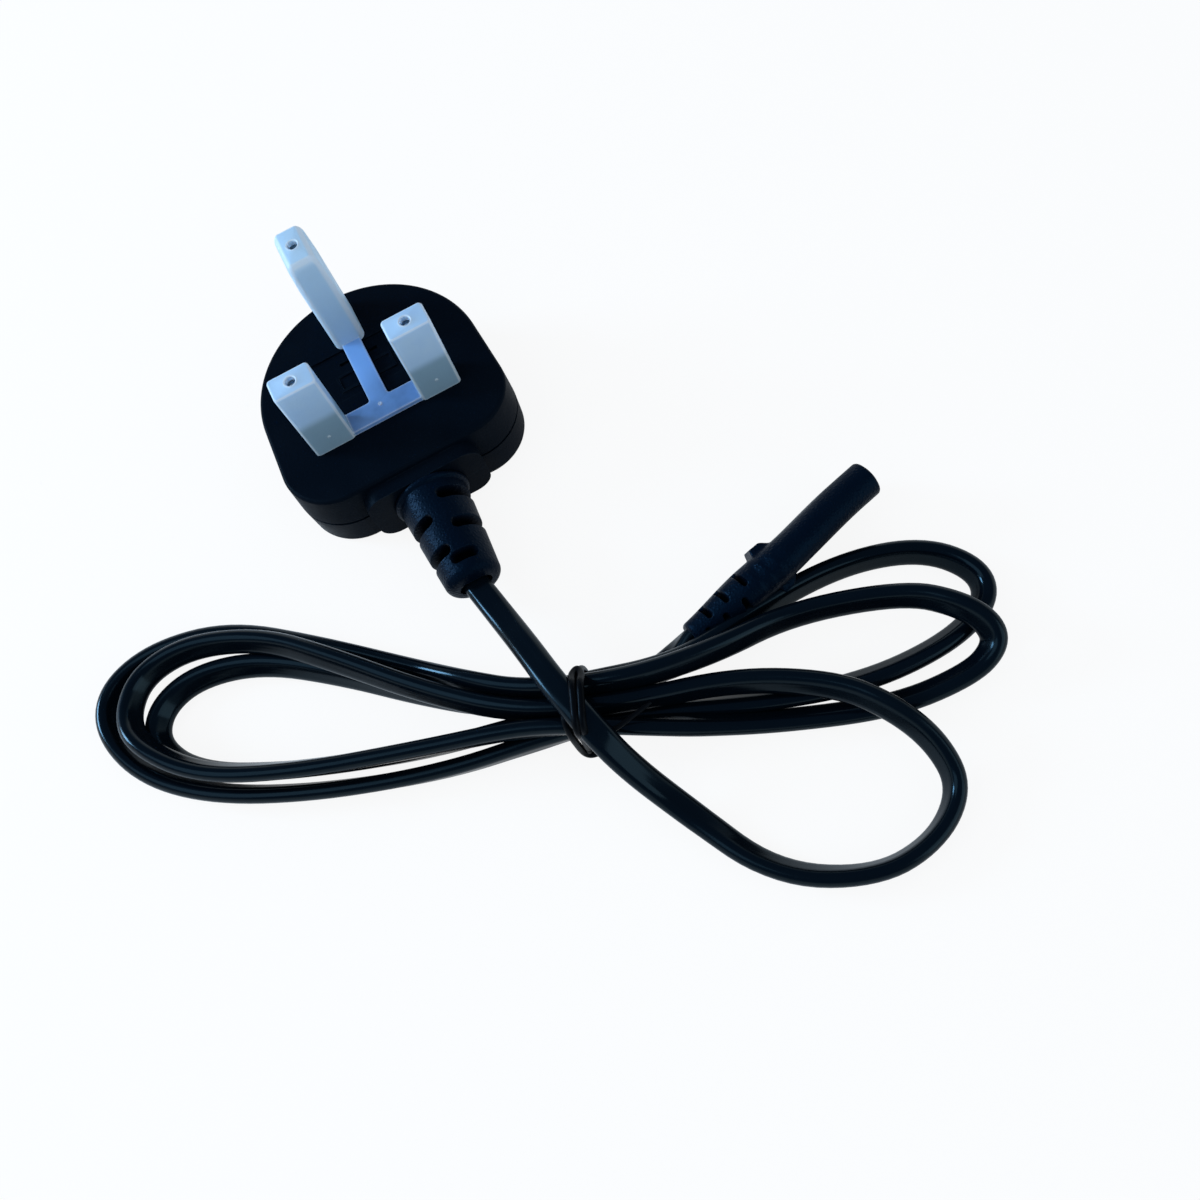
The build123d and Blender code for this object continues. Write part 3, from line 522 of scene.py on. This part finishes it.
def capMesh(look, name, centre, cap):
    base, top = look["base"], look["base"] + cap["height"]
    roof = look["base"] + cap["cavityHeight"]
    count, hole, lip = look["corners"], look["hole"], look["holeLip"]
    edge, rise, taper = cap["topEdge"], cap["topRise"], cap["taper"]

    def outer(inset, z):
        corner = max(cap["corner"] - inset, look["leastCorner"])
        return roundedRing(centre, (cap["half"][0] - inset, cap["half"][1] - inset), corner, z, count)

    rings = [outer(0.0, base), outer(0.0, base + cap["height"] * look["taperFrom"])]
    for j in range(look["edgeSteps"] + 1):
        a = math.radians(90 * j / look["edgeSteps"])
        rings.append(outer(taper + edge * (1 - math.cos(a)), top - rise + rise * math.sin(a)))
    for radius, z in ((hole + 2 * lip, top), (hole + lip, top + lip * look["lipRise"]), (hole, top), (hole, roof)):
        rings.append(roundedRing(centre, (radius, radius), radius, z, count))
    for z in (roof, base):
        rings.append(roundedRing(centre, cap["cavity"], look["cavityCorner"], z, count))
    return ringSkin(name, rings, closed=True)


def bridgeOutline(look, inset, z):
    stem, bar, corner = look["stem"] - inset, look["barEnd"], look["inCorner"] + inset
    front, back = look["barFront"] + inset, look["barBack"] - inset
    turn = []
    for j in range(look["inSteps"] + 1):
        a = math.radians(90 * j / look["inSteps"])
        turn.append((stem + corner * (1 - math.cos(a)), back + corner * (1 - math.sin(a))))
    right = [(bar, front), (bar, back)] + turn[::-1] + [(stem, look["stemEnd"])]
    left = [(-x, y) for x, y in right[::-1]]
    return [(x, y, z) for x, y in right + left]


def pipRings(look, x):
    # small moulded pip on the near wall of a cap
    wall = look["pinLine"] - look["pinCap"]["half"][1]
    z = look["base"] + look["pipAt"]
    return [[(x + look["pip"] * share * math.cos(a), wall - out, z + look["pip"] * share * math.sin(a))
             for a in turns(look["dotSides"])] for out, share in look["pipProfile"]]


def gateRings(look):
    # stub of the moulding gate on the bar, broken off short
    top = look["base"] + look["bridge"]
    x, y = look["gateAt"]
    return [[(x + look["gate"] * share * math.cos(a), y + look["gate"] * share * math.sin(a), top + out)
             for a in turns(look["dotSides"])] for out, share in look["gateProfile"]]


def joined(first, others):
    for other in others:
        join = first.modifiers.new("join", "BOOLEAN")
        join.operation = "UNION"
        join.solver = "EXACT"
        join.object = other
    bpy.context.view_layer.update()
    mesh = bpy.data.meshes.new_from_object(first.evaluated_get(bpy.context.evaluated_depsgraph_get()))
    for obj in [first, *others]:
        bpy.data.objects.remove(obj)
    return mesh


def coverMesh(look):
    top, edge = look["base"] + look["bridge"], look["bridgeEdge"]
    between = edge * look["bridgeRound"]
    outlines = [bridgeOutline(look, 0.0, look["base"]), bridgeOutline(look, 0.0, top - edge),
                bridgeOutline(look, between, top - between), bridgeOutline(look, edge, top)]
    bridge = ringSkin("coverBridge", outlines)
    others = []
    for side in (-1, 1):
        others.append(capMesh(look, "coverCap", (side * look["pinX"], look["pinLine"]), look["pinCap"]))
        others.append(ringSkin("coverPip", pipRings(look, side * look["pinX"])))
    others.append(capMesh(look, "coverEarthCap", (0.0, look["earthY"]), look["earthCap"]))
    others.append(ringSkin("coverGate", gateRings(look)))
    mesh = joined(bridge, others)
    mesh.name = "translucent_pin_cover"
    mesh.shade_smooth()
    mesh.set_sharp_from_angle(angle=math.radians(look["smoothAngle"]))
    return linked(bpy.data.objects.new("translucent_pin_cover", mesh))


pinCover = coverMesh(coverShape)
stands(pinCover, "cover", "pin_cover")
print("pin cover joined:", len(pinCover.data.polygons), "faces")


# Shared effects, each a node group that puts out masks and heights
def newGroup(name, inputs, outputs):
    tree = bpy.data.node_groups.new(name, "ShaderNodeTree")
    for label, value in inputs:
        socket = tree.interface.new_socket(label, in_out="INPUT", socket_type="NodeSocketFloat")
        socket.default_value = value
    for label in outputs:
        tree.interface.new_socket(label, in_out="OUTPUT", socket_type="NodeSocketFloat")
    return tree, tree.nodes.new("NodeGroupInput"), tree.nodes.new("NodeGroupOutput")


def mathNode(tree, operation, first, second=None, clamp=False):
    node = tree.nodes.new("ShaderNodeMath")
    node.operation = operation
    node.use_clamp = clamp
    for socket, value in zip(node.inputs, (first, second)):
        if value is None:
            continue
        if isinstance(value, bpy.types.NodeSocket):
            tree.links.new(value, socket)
        else:
            socket.default_value = value
    return node.outputs[0]


def rangeNode(tree, value, low, high, toLow=0.0, toHigh=1.0):
    node = tree.nodes.new("ShaderNodeMapRange")
    node.interpolation_type = "SMOOTHSTEP"
    for socket, given in zip(node.inputs, (value, low, high, toLow, toHigh)):
        if isinstance(given, bpy.types.NodeSocket):
            tree.links.new(given, socket)
        else:
            socket.default_value = given
    return node.outputs[0]


def noiseNode(tree, vector, scale, detail=2.0, rough=0.5):
    node = addNode(tree, "ShaderNodeTexNoise", Detail=detail, Roughness=rough)
    tree.links.new(vector, node.inputs["Vector"])
    if isinstance(scale, bpy.types.NodeSocket):
        tree.links.new(scale, node.inputs["Scale"])
    else:
        node.inputs["Scale"].default_value = scale
    return node.outputs["Fac"]


grainLook = {"pebble": (0.05, 0.6), "pebbleShare": 0.6, "fineTimes": 1.7, "fineShare": 0.5, "mottleScale": 160.0}


def mouldGrainGroup(look):
    tree, start, end = newGroup("mouldGrain", [("Grain Scale", 1800.0)], ["Height", "Mottle"])
    where = tree.nodes.new("ShaderNodeTexCoord").outputs["Object"]
    cells = addNode(tree, "ShaderNodeTexVoronoi", Randomness=1.0)
    tree.links.new(where, cells.inputs["Vector"])
    tree.links.new(start.outputs["Grain Scale"], cells.inputs["Scale"])
    pebble = rangeNode(tree, cells.outputs["Distance"], *look["pebble"], 1.0, 0.0)
    fineScale = mathNode(tree, "MULTIPLY", start.outputs["Grain Scale"], look["fineTimes"])
    fine = noiseNode(tree, where, fineScale, detail=3.0)
    tree.links.new(mathNode(tree, "ADD", mathNode(tree, "MULTIPLY", pebble, look["pebbleShare"]),
                            mathNode(tree, "MULTIPLY", fine, look["fineShare"])), end.inputs["Height"])
    tree.links.new(noiseNode(tree, where, look["mottleScale"], detail=3.0), end.inputs["Mottle"])
    return tree


markLook = {"smear": (0.35, 0.7), "stretch": (1.0, 9.0, 3.0), "turn": (0.3, 0.2, 0.7), "scratchTimes": 6.0,
            "scratch": (0.68, 0.76)}


def handlingGroup(look):
    tree, start, end = newGroup("handlingMarks", [("Mark Scale", 60.0)], ["Smear", "Scuff"])
    where = tree.nodes.new("ShaderNodeTexCoord").outputs["Object"]
    smear = noiseNode(tree, where, start.outputs["Mark Scale"], detail=3.0, rough=0.55)
    tree.links.new(rangeNode(tree, smear, *look["smear"]), end.inputs["Smear"])
    stretch = addNode(tree, "ShaderNodeMapping", Scale=look["stretch"], Rotation=look["turn"])
    tree.links.new(where, stretch.inputs["Vector"])
    scratchScale = mathNode(tree, "MULTIPLY", start.outputs["Mark Scale"], look["scratchTimes"])
    scratch = noiseNode(tree, stretch.outputs["Vector"], scratchScale)
    tree.links.new(rangeNode(tree, scratch, *look["scratch"]), end.inputs["Scuff"])
    return tree


rubAndHighlightLook = {"samples": 4, "edge": (0.72, 0.99), "patchScale": 420.0, "patch": (0.35, 0.65)}


# pale edge mask: in patches it marks rubbed wear; with Evenness 1 it runs evenly along every edge as a painted
# highlight
def edgeRubGroup(look):
    tree, start, end = newGroup("edgeRub", [("Edge Width", 0.0004), ("Evenness", 0.0)], ["Rub"])
    bevel = tree.nodes.new("ShaderNodeBevel")
    bevel.samples = look["samples"]
    tree.links.new(start.outputs["Edge Width"], bevel.inputs["Radius"])
    facing = tree.nodes.new("ShaderNodeNewGeometry")
    turn = tree.nodes.new("ShaderNodeVectorMath")
    turn.operation = "DOT_PRODUCT"
    tree.links.new(bevel.outputs["Normal"], turn.inputs[0])
    tree.links.new(facing.outputs["Normal"], turn.inputs[1])
    edge = rangeNode(tree, turn.outputs["Value"], *look["edge"], 1.0, 0.0)
    where = tree.nodes.new("ShaderNodeTexCoord").outputs["Object"]
    patch = rangeNode(tree, noiseNode(tree, where, look["patchScale"], detail=3.0), *look["patch"])
    patch = mathNode(tree, "MAXIMUM", patch, start.outputs["Evenness"])
    tree.links.new(mathNode(tree, "MULTIPLY", edge, patch), end.inputs["Rub"])
    return tree


dustLook = {"upward": (0.2, 0.9), "specks": (0.74, 0.8), "specksShare": 0.8, "filmScale": 90.0, "filmShare": 0.2,
            "tone": (0.03, 0.036, 0.045), "share": 0.08}


def settledDustGroup(look):
    tree, start, end = newGroup("settledDust", [("Dust Scale", 2600.0)], ["Dust"])
    facing = tree.nodes.new("ShaderNodeNewGeometry")
    split = tree.nodes.new("ShaderNodeSeparateXYZ")
    tree.links.new(facing.outputs["Normal"], split.inputs[0])
    upward = rangeNode(tree, split.outputs["Z"], *look["upward"])
    where = tree.nodes.new("ShaderNodeTexCoord").outputs["Object"]
    specks = rangeNode(tree, noiseNode(tree, where, start.outputs["Dust Scale"], detail=1.0), *look["specks"])
    film = noiseNode(tree, where, look["filmScale"], detail=3.0)
    lying = mathNode(tree, "ADD", mathNode(tree, "MULTIPLY", specks, look["specksShare"]),
                     mathNode(tree, "MULTIPLY", film, look["filmShare"]))
    tree.links.new(mathNode(tree, "MULTIPLY", upward, lying), end.inputs["Dust"])
    return tree


def roundedEdgeGroup():
    # 1 where a surface turns from one main direction to another
    tree, start, end = newGroup("roundedEdge", [("Edge Start", 0.99), ("Edge Full", 0.86)], ["Edge"])
    split = tree.nodes.new("ShaderNodeSeparateXYZ")
    tree.links.new(tree.nodes.new("ShaderNodeNewGeometry").outputs["Normal"], split.inputs[0])
    x, y, z = (mathNode(tree, "ABSOLUTE", split.outputs[k]) for k in "XYZ")
    most = mathNode(tree, "MAXIMUM", mathNode(tree, "MAXIMUM", x, y), z)
    tree.links.new(rangeNode(tree, most, start.outputs["Edge Full"], start.outputs["Edge Start"], 1.0, 0.0),
                   end.inputs["Edge"])
    return tree


grainEffect = mouldGrainGroup(grainLook)
handlingEffect = handlingGroup(markLook)
edgeRubAndHighlightEffect = edgeRubGroup(rubAndHighlightLook)
edgeHighlightEffect = roundedEdgeGroup()
dustEffect = settledDustGroup(dustLook)
print("effects made:", len(bpy.data.node_groups))


def placeGroup(tree, effect, **values):
    node = tree.nodes.new("ShaderNodeGroup")
    node.node_tree = effect
    for label, value in values.items():
        node.inputs[label.replace("_", " ")].default_value = value
    return node


def mixColour(tree, mask, first, second):
    node = tree.nodes.new("ShaderNodeMix")
    node.data_type = "RGBA"
    sockets = [node.inputs[0], node.inputs[6], node.inputs[7]]  # the factor and the two colours
    for socket, value in zip(sockets, (mask, first, second)):
        if isinstance(value, bpy.types.NodeSocket):
            tree.links.new(value, socket)
        else:
            socket.default_value = value if socket.type == "VALUE" else (*value, 1.0)
    return node.outputs[2]


def bumpInto(tree, shader, height, distance, strength):
    bump = addNode(tree, "ShaderNodeBump", Strength=strength, Distance=distance)
    tree.links.new(height, bump.inputs["Height"])
    tree.links.new(bump.outputs["Normal"], shader.inputs["Normal"])


def newMaterial(name):
    material = bpy.data.materials.new(name)
    material.use_nodes = True
    return material, material.node_tree, material.node_tree.nodes["Principled BSDF"]


# Plastics: tone and second tone, edge tone (rubbed edges with a painted highlight), roughness range, grain, gloss
# and, on the reliefs, the painted shade in a slot
plasticFinishes = {
    "shell": {"tone": (0.0009, 0.0027, 0.0058), "second": (0.0014, 0.0038, 0.008), "edge": (0.007, 0.012, 0.018),
              "rough": (0.34, 0.5), "grain": 2600.0, "depth": 0.00003, "ior": 1.09, "sheen": (0.6, 0.84, 1.0)},
    "sleeve": {"tone": (0.002, 0.002, 0.003), "second": (0.003, 0.003, 0.004), "edge": (0.012, 0.012, 0.015),
               "rough": (0.35, 0.5), "grain": 2600.0, "depth": 0.00002, "ior": 1.2, "sheen": (0.6, 0.8, 1.0)},
    "relief": {"tone": (0.0004, 0.0023, 0.0064), "second": (0.0008, 0.0037, 0.01), "edge": (0.007, 0.013, 0.022),
               "rough": (0.34, 0.44), "grain": 1700.0, "depth": 0.00009, "ior": 1.17, "sheen": (0.14, 0.52, 1.0),
               # painted shade: the darker tone at the bottom of a slot
               "slotShade": (0.0004, 0.0006, 0.001)},
    "insert": {"tone": (0.002, 0.002, 0.003), "second": (0.003, 0.003, 0.004), "edge": (0.012, 0.012, 0.014),
               "rough": (0.3, 0.45), "grain": 2600.0, "depth": 0.00002, "ior": 1.18, "sheen": (0.6, 0.8, 1.0)},
    "tie": {"tone": (0.0012, 0.0014, 0.0018), "second": (0.002, 0.0023, 0.003), "edge": (0.01, 0.011, 0.013),
            "rough": (0.3, 0.42), "grain": 2600.0, "depth": 0.00001, "ior": 1.14, "sheen": (0.6, 0.8, 1.0)},
    "line_insulation": {"tone": (0.22, 0.085, 0.035), "second": (0.26, 0.105, 0.045), "edge": (0.34, 0.16, 0.08),
                        "rough": (0.28, 0.42), "grain": 2600.0, "depth": 0.00001, "ior": 1.45,
                        "sheen": (1.0, 1.0, 1.0)},
    "neutral_insulation": {"tone": (0.03, 0.12, 0.38), "second": (0.04, 0.15, 0.44), "edge": (0.1, 0.24, 0.55),
                           "rough": (0.28, 0.42), "grain": 2600.0, "depth": 0.00001, "ior": 1.45,
                           "sheen": (1.0, 1.0, 1.0)},
    "fuse_body": {"tone": (0.74, 0.71, 0.64), "second": (0.8, 0.78, 0.72), "edge": (0.85, 0.84, 0.8),
                  "rough": (0.55, 0.75), "grain": 1800.0, "depth": 0.00003, "ior": 1.45,
                  "sheen": (1.0, 1.0, 1.0)},
}
# wear and grain of the plastics, and the painted shade at the bottom of a slot, where the gloss is taken down to next
# to none
plasticWearAndShade = {"markScale": 70.0, "edgeMaskWidth": 0.0004, "dustScale": 2600.0, "dustRough": 0.15, "bump": 0.9,
               "slotShadeIor": 1.02}  # next to no gloss at the bottom of a slot


def plasticMaterial(name, look):
    material, tree, shader = newMaterial(name)
    grain = placeGroup(tree, grainEffect, Grain_Scale=look["grain"])
    marks = placeGroup(tree, handlingEffect, Mark_Scale=plasticWearAndShade["markScale"])
    rubAndHighlight = placeGroup(tree, edgeRubAndHighlightEffect, Edge_Width=plasticWearAndShade["edgeMaskWidth"])
    dust = placeGroup(tree, dustEffect, Dust_Scale=plasticWearAndShade["dustScale"])
    tone = mixColour(tree, grain.outputs["Mottle"], look["tone"], look["second"])
    # edge tone: rubbed wear along the edges, and a painted highlight there
    tone = mixColour(tree, rubAndHighlight.outputs["Rub"], tone, look["edge"])
    film = mathNode(tree, "MULTIPLY", dust.outputs["Dust"], dustLook["share"])
    tone = mixColour(tree, film, tone, dustLook["tone"])
    shader.inputs["IOR"].default_value = look["ior"]
    # painted shade in the slots: a darker tone and less gloss, by the depth of the cut
    if "slotShade" in look:
        cut = tree.nodes.new("ShaderNodeAttribute")
        cut.attribute_name = "cut"
        tone = mixColour(tree, cut.outputs["Fac"], tone, look["slotShade"])
        loss = mathNode(tree, "MULTIPLY", cut.outputs["Fac"], look["ior"] - plasticWearAndShade["slotShadeIor"])
        tree.links.new(mathNode(tree, "SUBTRACT", look["ior"], loss), shader.inputs["IOR"])
    tree.links.new(tone, shader.inputs["Base Color"])
    rough = rangeNode(tree, marks.outputs["Smear"], 0.0, 1.0, *look["rough"])
    dusty = mathNode(tree, "MULTIPLY", dust.outputs["Dust"], plasticWearAndShade["dustRough"])
    tree.links.new(mathNode(tree, "ADD", rough, dusty, clamp=True), shader.inputs["Roughness"])
    shader.inputs["Specular Tint"].default_value = (*look["sheen"], 1.0)
    bumpInto(tree, shader, grain.outputs["Height"], look["depth"], plasticWearAndShade["bump"])
    return material


# Sheath of the cord: gloss with lengthwise drawing streaks
sheathLook = {
    "tone": (0.0006, 0.0018, 0.0036), "second": (0.0011, 0.003, 0.0056), "rough": (0.14, 0.24), "uneven": (0.1, 0.9),
    "ior": 1.27, "sheen": (0.5, 0.82, 1.0), "streakScale": (40.0, 10.0, 1.0), "streakDepth": 0.00003, "bump": 0.8,
    "markScale": 90.0, "grain": 3200.0, "grainShare": 0.08, "dustScale": 3000.0, "dustShare": 0.04,
}


def sheathMaterial(look):
    material, tree, shader = newMaterial("cordSheath")
    along = tree.nodes.new("ShaderNodeUVMap")
    along.uv_map = "alongRound"
    stretch = addNode(tree, "ShaderNodeMapping", Scale=look["streakScale"])
    tree.links.new(along.outputs["UV"], stretch.inputs["Vector"])
    streak = noiseNode(tree, stretch.outputs["Vector"], 1.0, detail=3.0)
    marks = placeGroup(tree, handlingEffect, Mark_Scale=look["markScale"])
    grain = placeGroup(tree, grainEffect, Grain_Scale=look["grain"])
    dust = placeGroup(tree, dustEffect, Dust_Scale=look["dustScale"])
    tone = mixColour(tree, streak, look["tone"], look["second"])
    film = mathNode(tree, "MULTIPLY", dust.outputs["Dust"], look["dustShare"])
    tone = mixColour(tree, film, tone, dustLook["tone"])
    tree.links.new(tone, shader.inputs["Base Color"])
    uneven = mathNode(tree, "MULTIPLY", mathNode(tree, "ADD", streak, marks.outputs["Smear"]), 0.5)
    tree.links.new(rangeNode(tree, uneven, *look["uneven"], *look["rough"]), shader.inputs["Roughness"])
    shader.inputs["IOR"].default_value = look["ior"]
    shader.inputs["Specular Tint"].default_value = (*look["sheen"], 1.0)
    height = mathNode(tree, "ADD", streak, mathNode(tree, "MULTIPLY", grain.outputs["Height"], look["grainShare"]))
    bumpInto(tree, shader, height, look["streakDepth"], look["bump"])
    return material


# Metals: plate tone, worn tone, roughness range
metalFinishes = {
    "pin_metal": {"tone": (0.72, 0.71, 0.67), "worn": (0.78, 0.68, 0.46), "rough": (0.16, 0.32)},
    "fuse_metal": {"tone": (0.76, 0.76, 0.75), "worn": (0.6, 0.58, 0.53), "rough": (0.18, 0.34)},
    "contact_metal": {"tone": (0.78, 0.6, 0.28), "worn": (0.6, 0.42, 0.2), "rough": (0.22, 0.4)},
}
metalWear = {"markScale": 140.0, "edgeMaskWidth": 0.0003, "rubShare": 0.6, "scuffShare": 0.3,
             "brush": (900.0, 900.0, 40.0), "brushDepth": 0.00002, "bump": 0.5}


def metalMaterial(name, look):
    material, tree, shader = newMaterial(name)
    shader.inputs["Metallic"].default_value = 1.0
    marks = placeGroup(tree, handlingEffect, Mark_Scale=metalWear["markScale"])
    rubAndHighlight = placeGroup(tree, edgeRubAndHighlightEffect, Edge_Width=metalWear["edgeMaskWidth"])
    worn = mathNode(tree, "ADD", mathNode(tree, "MULTIPLY", rubAndHighlight.outputs["Rub"], metalWear["rubShare"]),
                    mathNode(tree, "MULTIPLY", marks.outputs["Scuff"], metalWear["scuffShare"]), clamp=True)
    tree.links.new(mixColour(tree, worn, look["tone"], look["worn"]), shader.inputs["Base Color"])
    tree.links.new(rangeNode(tree, marks.outputs["Smear"], 0.0, 1.0, *look["rough"]), shader.inputs["Roughness"])
    brushed = addNode(tree, "ShaderNodeMapping", Scale=metalWear["brush"])
    tree.links.new(tree.nodes.new("ShaderNodeTexCoord").outputs["Object"], brushed.inputs["Vector"])
    lines = noiseNode(tree, brushed.outputs["Vector"], 1.0)
    bumpInto(tree, shader, lines, metalWear["brushDepth"], metalWear["bump"])
    return material


# Pin cover: milky translucent, cloudy inside, with a painted highlight along its edges. What shows through it at
# rest, the sleeves and the black face, is painted shade in its tones, with painted light over the longest pin, and so
# travels with it.
coverLook = {
    "tone": (0.44, 0.67, 0.95), "cloud": (0.64, 0.83, 1.0),
    # painted highlight along the edges: its tone, width and share
    "edge": (1.0, 1.0, 1.0), "edgeHighlightWidth": 0.0007, "edgeHighlightShare": 0.5,
    # painted shade where the black sleeves lie under the caps
    "sleeveShade": (0.3, 0.46, 0.58), "sleeveTop": (0.0247, 0.0271),  # over the black sleeves, up to their tops
    # painted light over the longest pin, which has no sleeve
    "earthLight": (0.62, 0.83, 1.0), "earthShare": 0.75,  # over the longest pin, which has no sleeve
    # the T, painted shade where it lies on the black face: its stem and bar tones, where one turns into the other,
    # how cloudy that is, and the room that the T takes
    "bridge": (0.24, 0.48, 0.92), "bar": (0.09, 0.19, 0.4), "barFrom": (-0.006, 0.004),
    "barMottle": (0.3, 0.7), "barShares": (0.5, 1.0),
    "bridgeTop": (0.0176, 0.0182), "bridgeSide": (0.0069, 0.0071), "bridgeBack": (0.0104, 0.0106),
    "rough": (0.34, 0.5), "transmission": 0.3, "ior": 1.4, "markScale": 110.0,
    "grain": 1500.0, "depth": 0.00003, "bump": 0.5,
}


def coverMaterial(look):
    material, tree, shader = newMaterial("coverPlastic")
    marks = placeGroup(tree, handlingEffect, Mark_Scale=look["markScale"])
    grain = placeGroup(tree, grainEffect, Grain_Scale=look["grain"])
    rubAndHighlight = placeGroup(tree, edgeRubAndHighlightEffect, Edge_Width=look["edgeHighlightWidth"], Evenness=1.0)
    split = tree.nodes.new("ShaderNodeSeparateXYZ")
    tree.links.new(tree.nodes.new("ShaderNodeTexCoord").outputs["Object"], split.inputs[0])
    x, y, z = (split.outputs[k] for k in "XYZ")
    onFace = rangeNode(tree, z, *look["bridgeTop"], 1.0, 0.0)
    between = rangeNode(tree, mathNode(tree, "ABSOLUTE", x), *look["bridgeSide"], 1.0, 0.0)
    before = rangeNode(tree, y, *look["bridgeBack"], 1.0, 0.0)
    bridge = mathNode(tree, "MULTIPLY", onFace, mathNode(tree, "MULTIPLY", between, before))
    tone = mixColour(tree, grain.outputs["Mottle"], look["tone"], look["cloud"])
    # painted shade over the black sleeves, below their tops
    paintedSleeveShade = mathNode(tree, "MULTIPLY", rangeNode(tree, z, *look["sleeveTop"], 1.0, 0.0),
                          mathNode(tree, "SUBTRACT", 1.0, between))
    tone = mixColour(tree, paintedSleeveShade, tone, look["sleeveShade"])
    # painted light on the longest cap
    paintedEarthLight = mathNode(tree, "MULTIPLY", mathNode(tree, "SUBTRACT", 1.0, before), look["earthShare"])
    tone = mixColour(tree, paintedEarthLight, tone, look["earthLight"])
    # painted shade of the T on the black face, deeper over the bar
    shade = mathNode(tree, "MULTIPLY", rangeNode(tree, y, *look["barFrom"], 1.0, 0.0),
                     rangeNode(tree, grain.outputs["Mottle"], *look["barMottle"], *look["barShares"]))
    tone = mixColour(tree, bridge, tone, mixColour(tree, shade, look["bridge"], look["bar"]))
    # painted highlight along the edges and where the surface turns
    edgeHighlight = mathNode(tree, "MAXIMUM", rubAndHighlight.outputs["Rub"], placeGroup(tree, edgeHighlightEffect).outputs["Edge"])
    tone = mixColour(tree, mathNode(tree, "MULTIPLY", edgeHighlight, look["edgeHighlightShare"]), tone, look["edge"])
    tree.links.new(tone, shader.inputs["Base Color"])
    tree.links.new(rangeNode(tree, marks.outputs["Smear"], 0.0, 1.0, *look["rough"]), shader.inputs["Roughness"])
    shader.inputs["IOR"].default_value = look["ior"]
    shader.inputs["Transmission Weight"].default_value = look["transmission"]
    bumpInto(tree, shader, grain.outputs["Height"], look["depth"], look["bump"])
    return material


finishes = {name: plasticMaterial(name + "Plastic", look) for name, look in plasticFinishes.items()}
finishes.update({name: metalMaterial(name + "Plate", look) for name, look in metalFinishes.items()})
finishes["cord_sheath"] = sheathMaterial(sheathLook)
finishes["cover"] = coverMaterial(coverLook)


def dress(obj, slot):
    obj.data.materials.clear()
    obj.data.materials.append(finishes[slot])


for part in frame["record"]["subparts"]:
    dress(nodes[part["node"]], part["material_slot"])
for piece, slot in ((cord, "cord_sheath"), (bush, "relief"), (connectorBody, "relief"), (tie, "tie"),
                    (pinCover, "cover")):
    dress(piece, slot)
print("finishes set:", len(finishes))

# Floor and light
stageLook = {
    "floorSize": 3.0, "floorDrop": 0.0002, "floorTone": (0.86, 0.87, 0.88), "whiteShare": 0.9, "glossShare": 0.4,
    "worldTone": (0.8, 0.9, 1.0), "worldLevel": 0.58,
    "ceilingTone": (0.1, 0.16, 0.26), "ceilingFrom": (0.12, 0.5),  # walls are white, the room darkens above them
}
lamps = [
    # name, place, aimed at, size, power, tone
    ("windowPanel", (-0.56, 0.34, 0.3), (0.0, -0.05, 0.0), 0.2, 4.5, (0.42, 0.7, 1.0)),
    ("highPanel", (-0.42, -0.02, 0.6), (0.0, -0.05, 0.0), 0.5, 1.25, (0.62, 0.82, 1.0)),
    ("frontFill", (0.45, -0.6, 0.36), (0.0, -0.04, 0.01), 0.5, 1.2, (0.8, 0.92, 1.0)),
]


def whiteToCamera(tree, shader, whiteShare, glossShare, output):
    # white where it is seen directly or through the cover, and partly so in gloss; as a light it stays as it is
    path = tree.nodes.new("ShaderNodeLightPath")
    seen = mathNode(tree, "MAXIMUM", path.outputs["Is Camera Ray"],
                    mathNode(tree, "MULTIPLY", path.outputs["Is Glossy Ray"], glossShare))
    seen = mathNode(tree, "MAXIMUM", seen, path.outputs["Is Transmission Ray"])
    kind = "ShaderNodeBackground" if shader.type == "BACKGROUND" else "ShaderNodeEmission"
    white = addNode(tree, kind, Color=(1.0, 1.0, 1.0, 1.0), Strength=1.0)
    mix = tree.nodes.new("ShaderNodeMixShader")
    tree.links.new(mathNode(tree, "MULTIPLY", seen, whiteShare), mix.inputs[0])
    tree.links.new(shader.outputs[0], mix.inputs[1])
    tree.links.new(white.outputs[0], mix.inputs[2])
    tree.links.new(mix.outputs[0], output.inputs["Surface"])
    return white


half = stageLook["floorSize"] / 2
corners = [(x * half, y * half, -stageLook["floorDrop"]) for x, y in ((-1, -1), (1, -1), (1, 1), (-1, 1))]
floor = meshPiece("floor", corners, [(0, 1, 2, 3)])
floorMaterial, floorTree, unusedShader = newMaterial("paleFloor")
floorTree.nodes.remove(unusedShader)
plain = addNode(floorTree, "ShaderNodeBsdfDiffuse", Color=(*stageLook["floorTone"], 1.0))
whiteToCamera(floorTree, plain, stageLook["whiteShare"], stageLook["glossShare"], floorTree.nodes["Material Output"])
floor.data.materials.append(floorMaterial)

world = bpy.data.worlds.new("studio")
world.use_nodes = True
scene.world = world
worldTree = world.node_tree
ambient = worldTree.nodes["Background"]
ambient.inputs["Color"].default_value = (*stageLook["worldTone"], 1.0)
ambient.inputs["Strength"].default_value = stageLook["worldLevel"]
walls = whiteToCamera(worldTree, ambient, 1.0, 1.0, worldTree.nodes["World Output"])
skyward = worldTree.nodes.new("ShaderNodeSeparateXYZ")
worldTree.links.new(worldTree.nodes.new("ShaderNodeTexCoord").outputs["Generated"], skyward.inputs[0])
height = rangeNode(worldTree, skyward.outputs["Z"], *stageLook["ceilingFrom"])
worldTree.links.new(mixColour(worldTree, height, (1.0, 1.0, 1.0), stageLook["ceilingTone"]), walls.inputs["Color"])

for name, place, aim, size, power, tone in lamps:
    data = bpy.data.lights.new(name, "AREA")
    data.shape = "SQUARE"
    data.size = size
    data.energy = power
    data.color = tone
    lamp = linked(bpy.data.objects.new(name, data))
    lamp.location = place
    lamp.rotation_mode = "QUATERNION"
    lamp.rotation_quaternion = (Vector(aim) - Vector(place)).to_track_quat("-Z", "Y")
scene.view_settings.view_transform = "Standard"
print("stage lit")
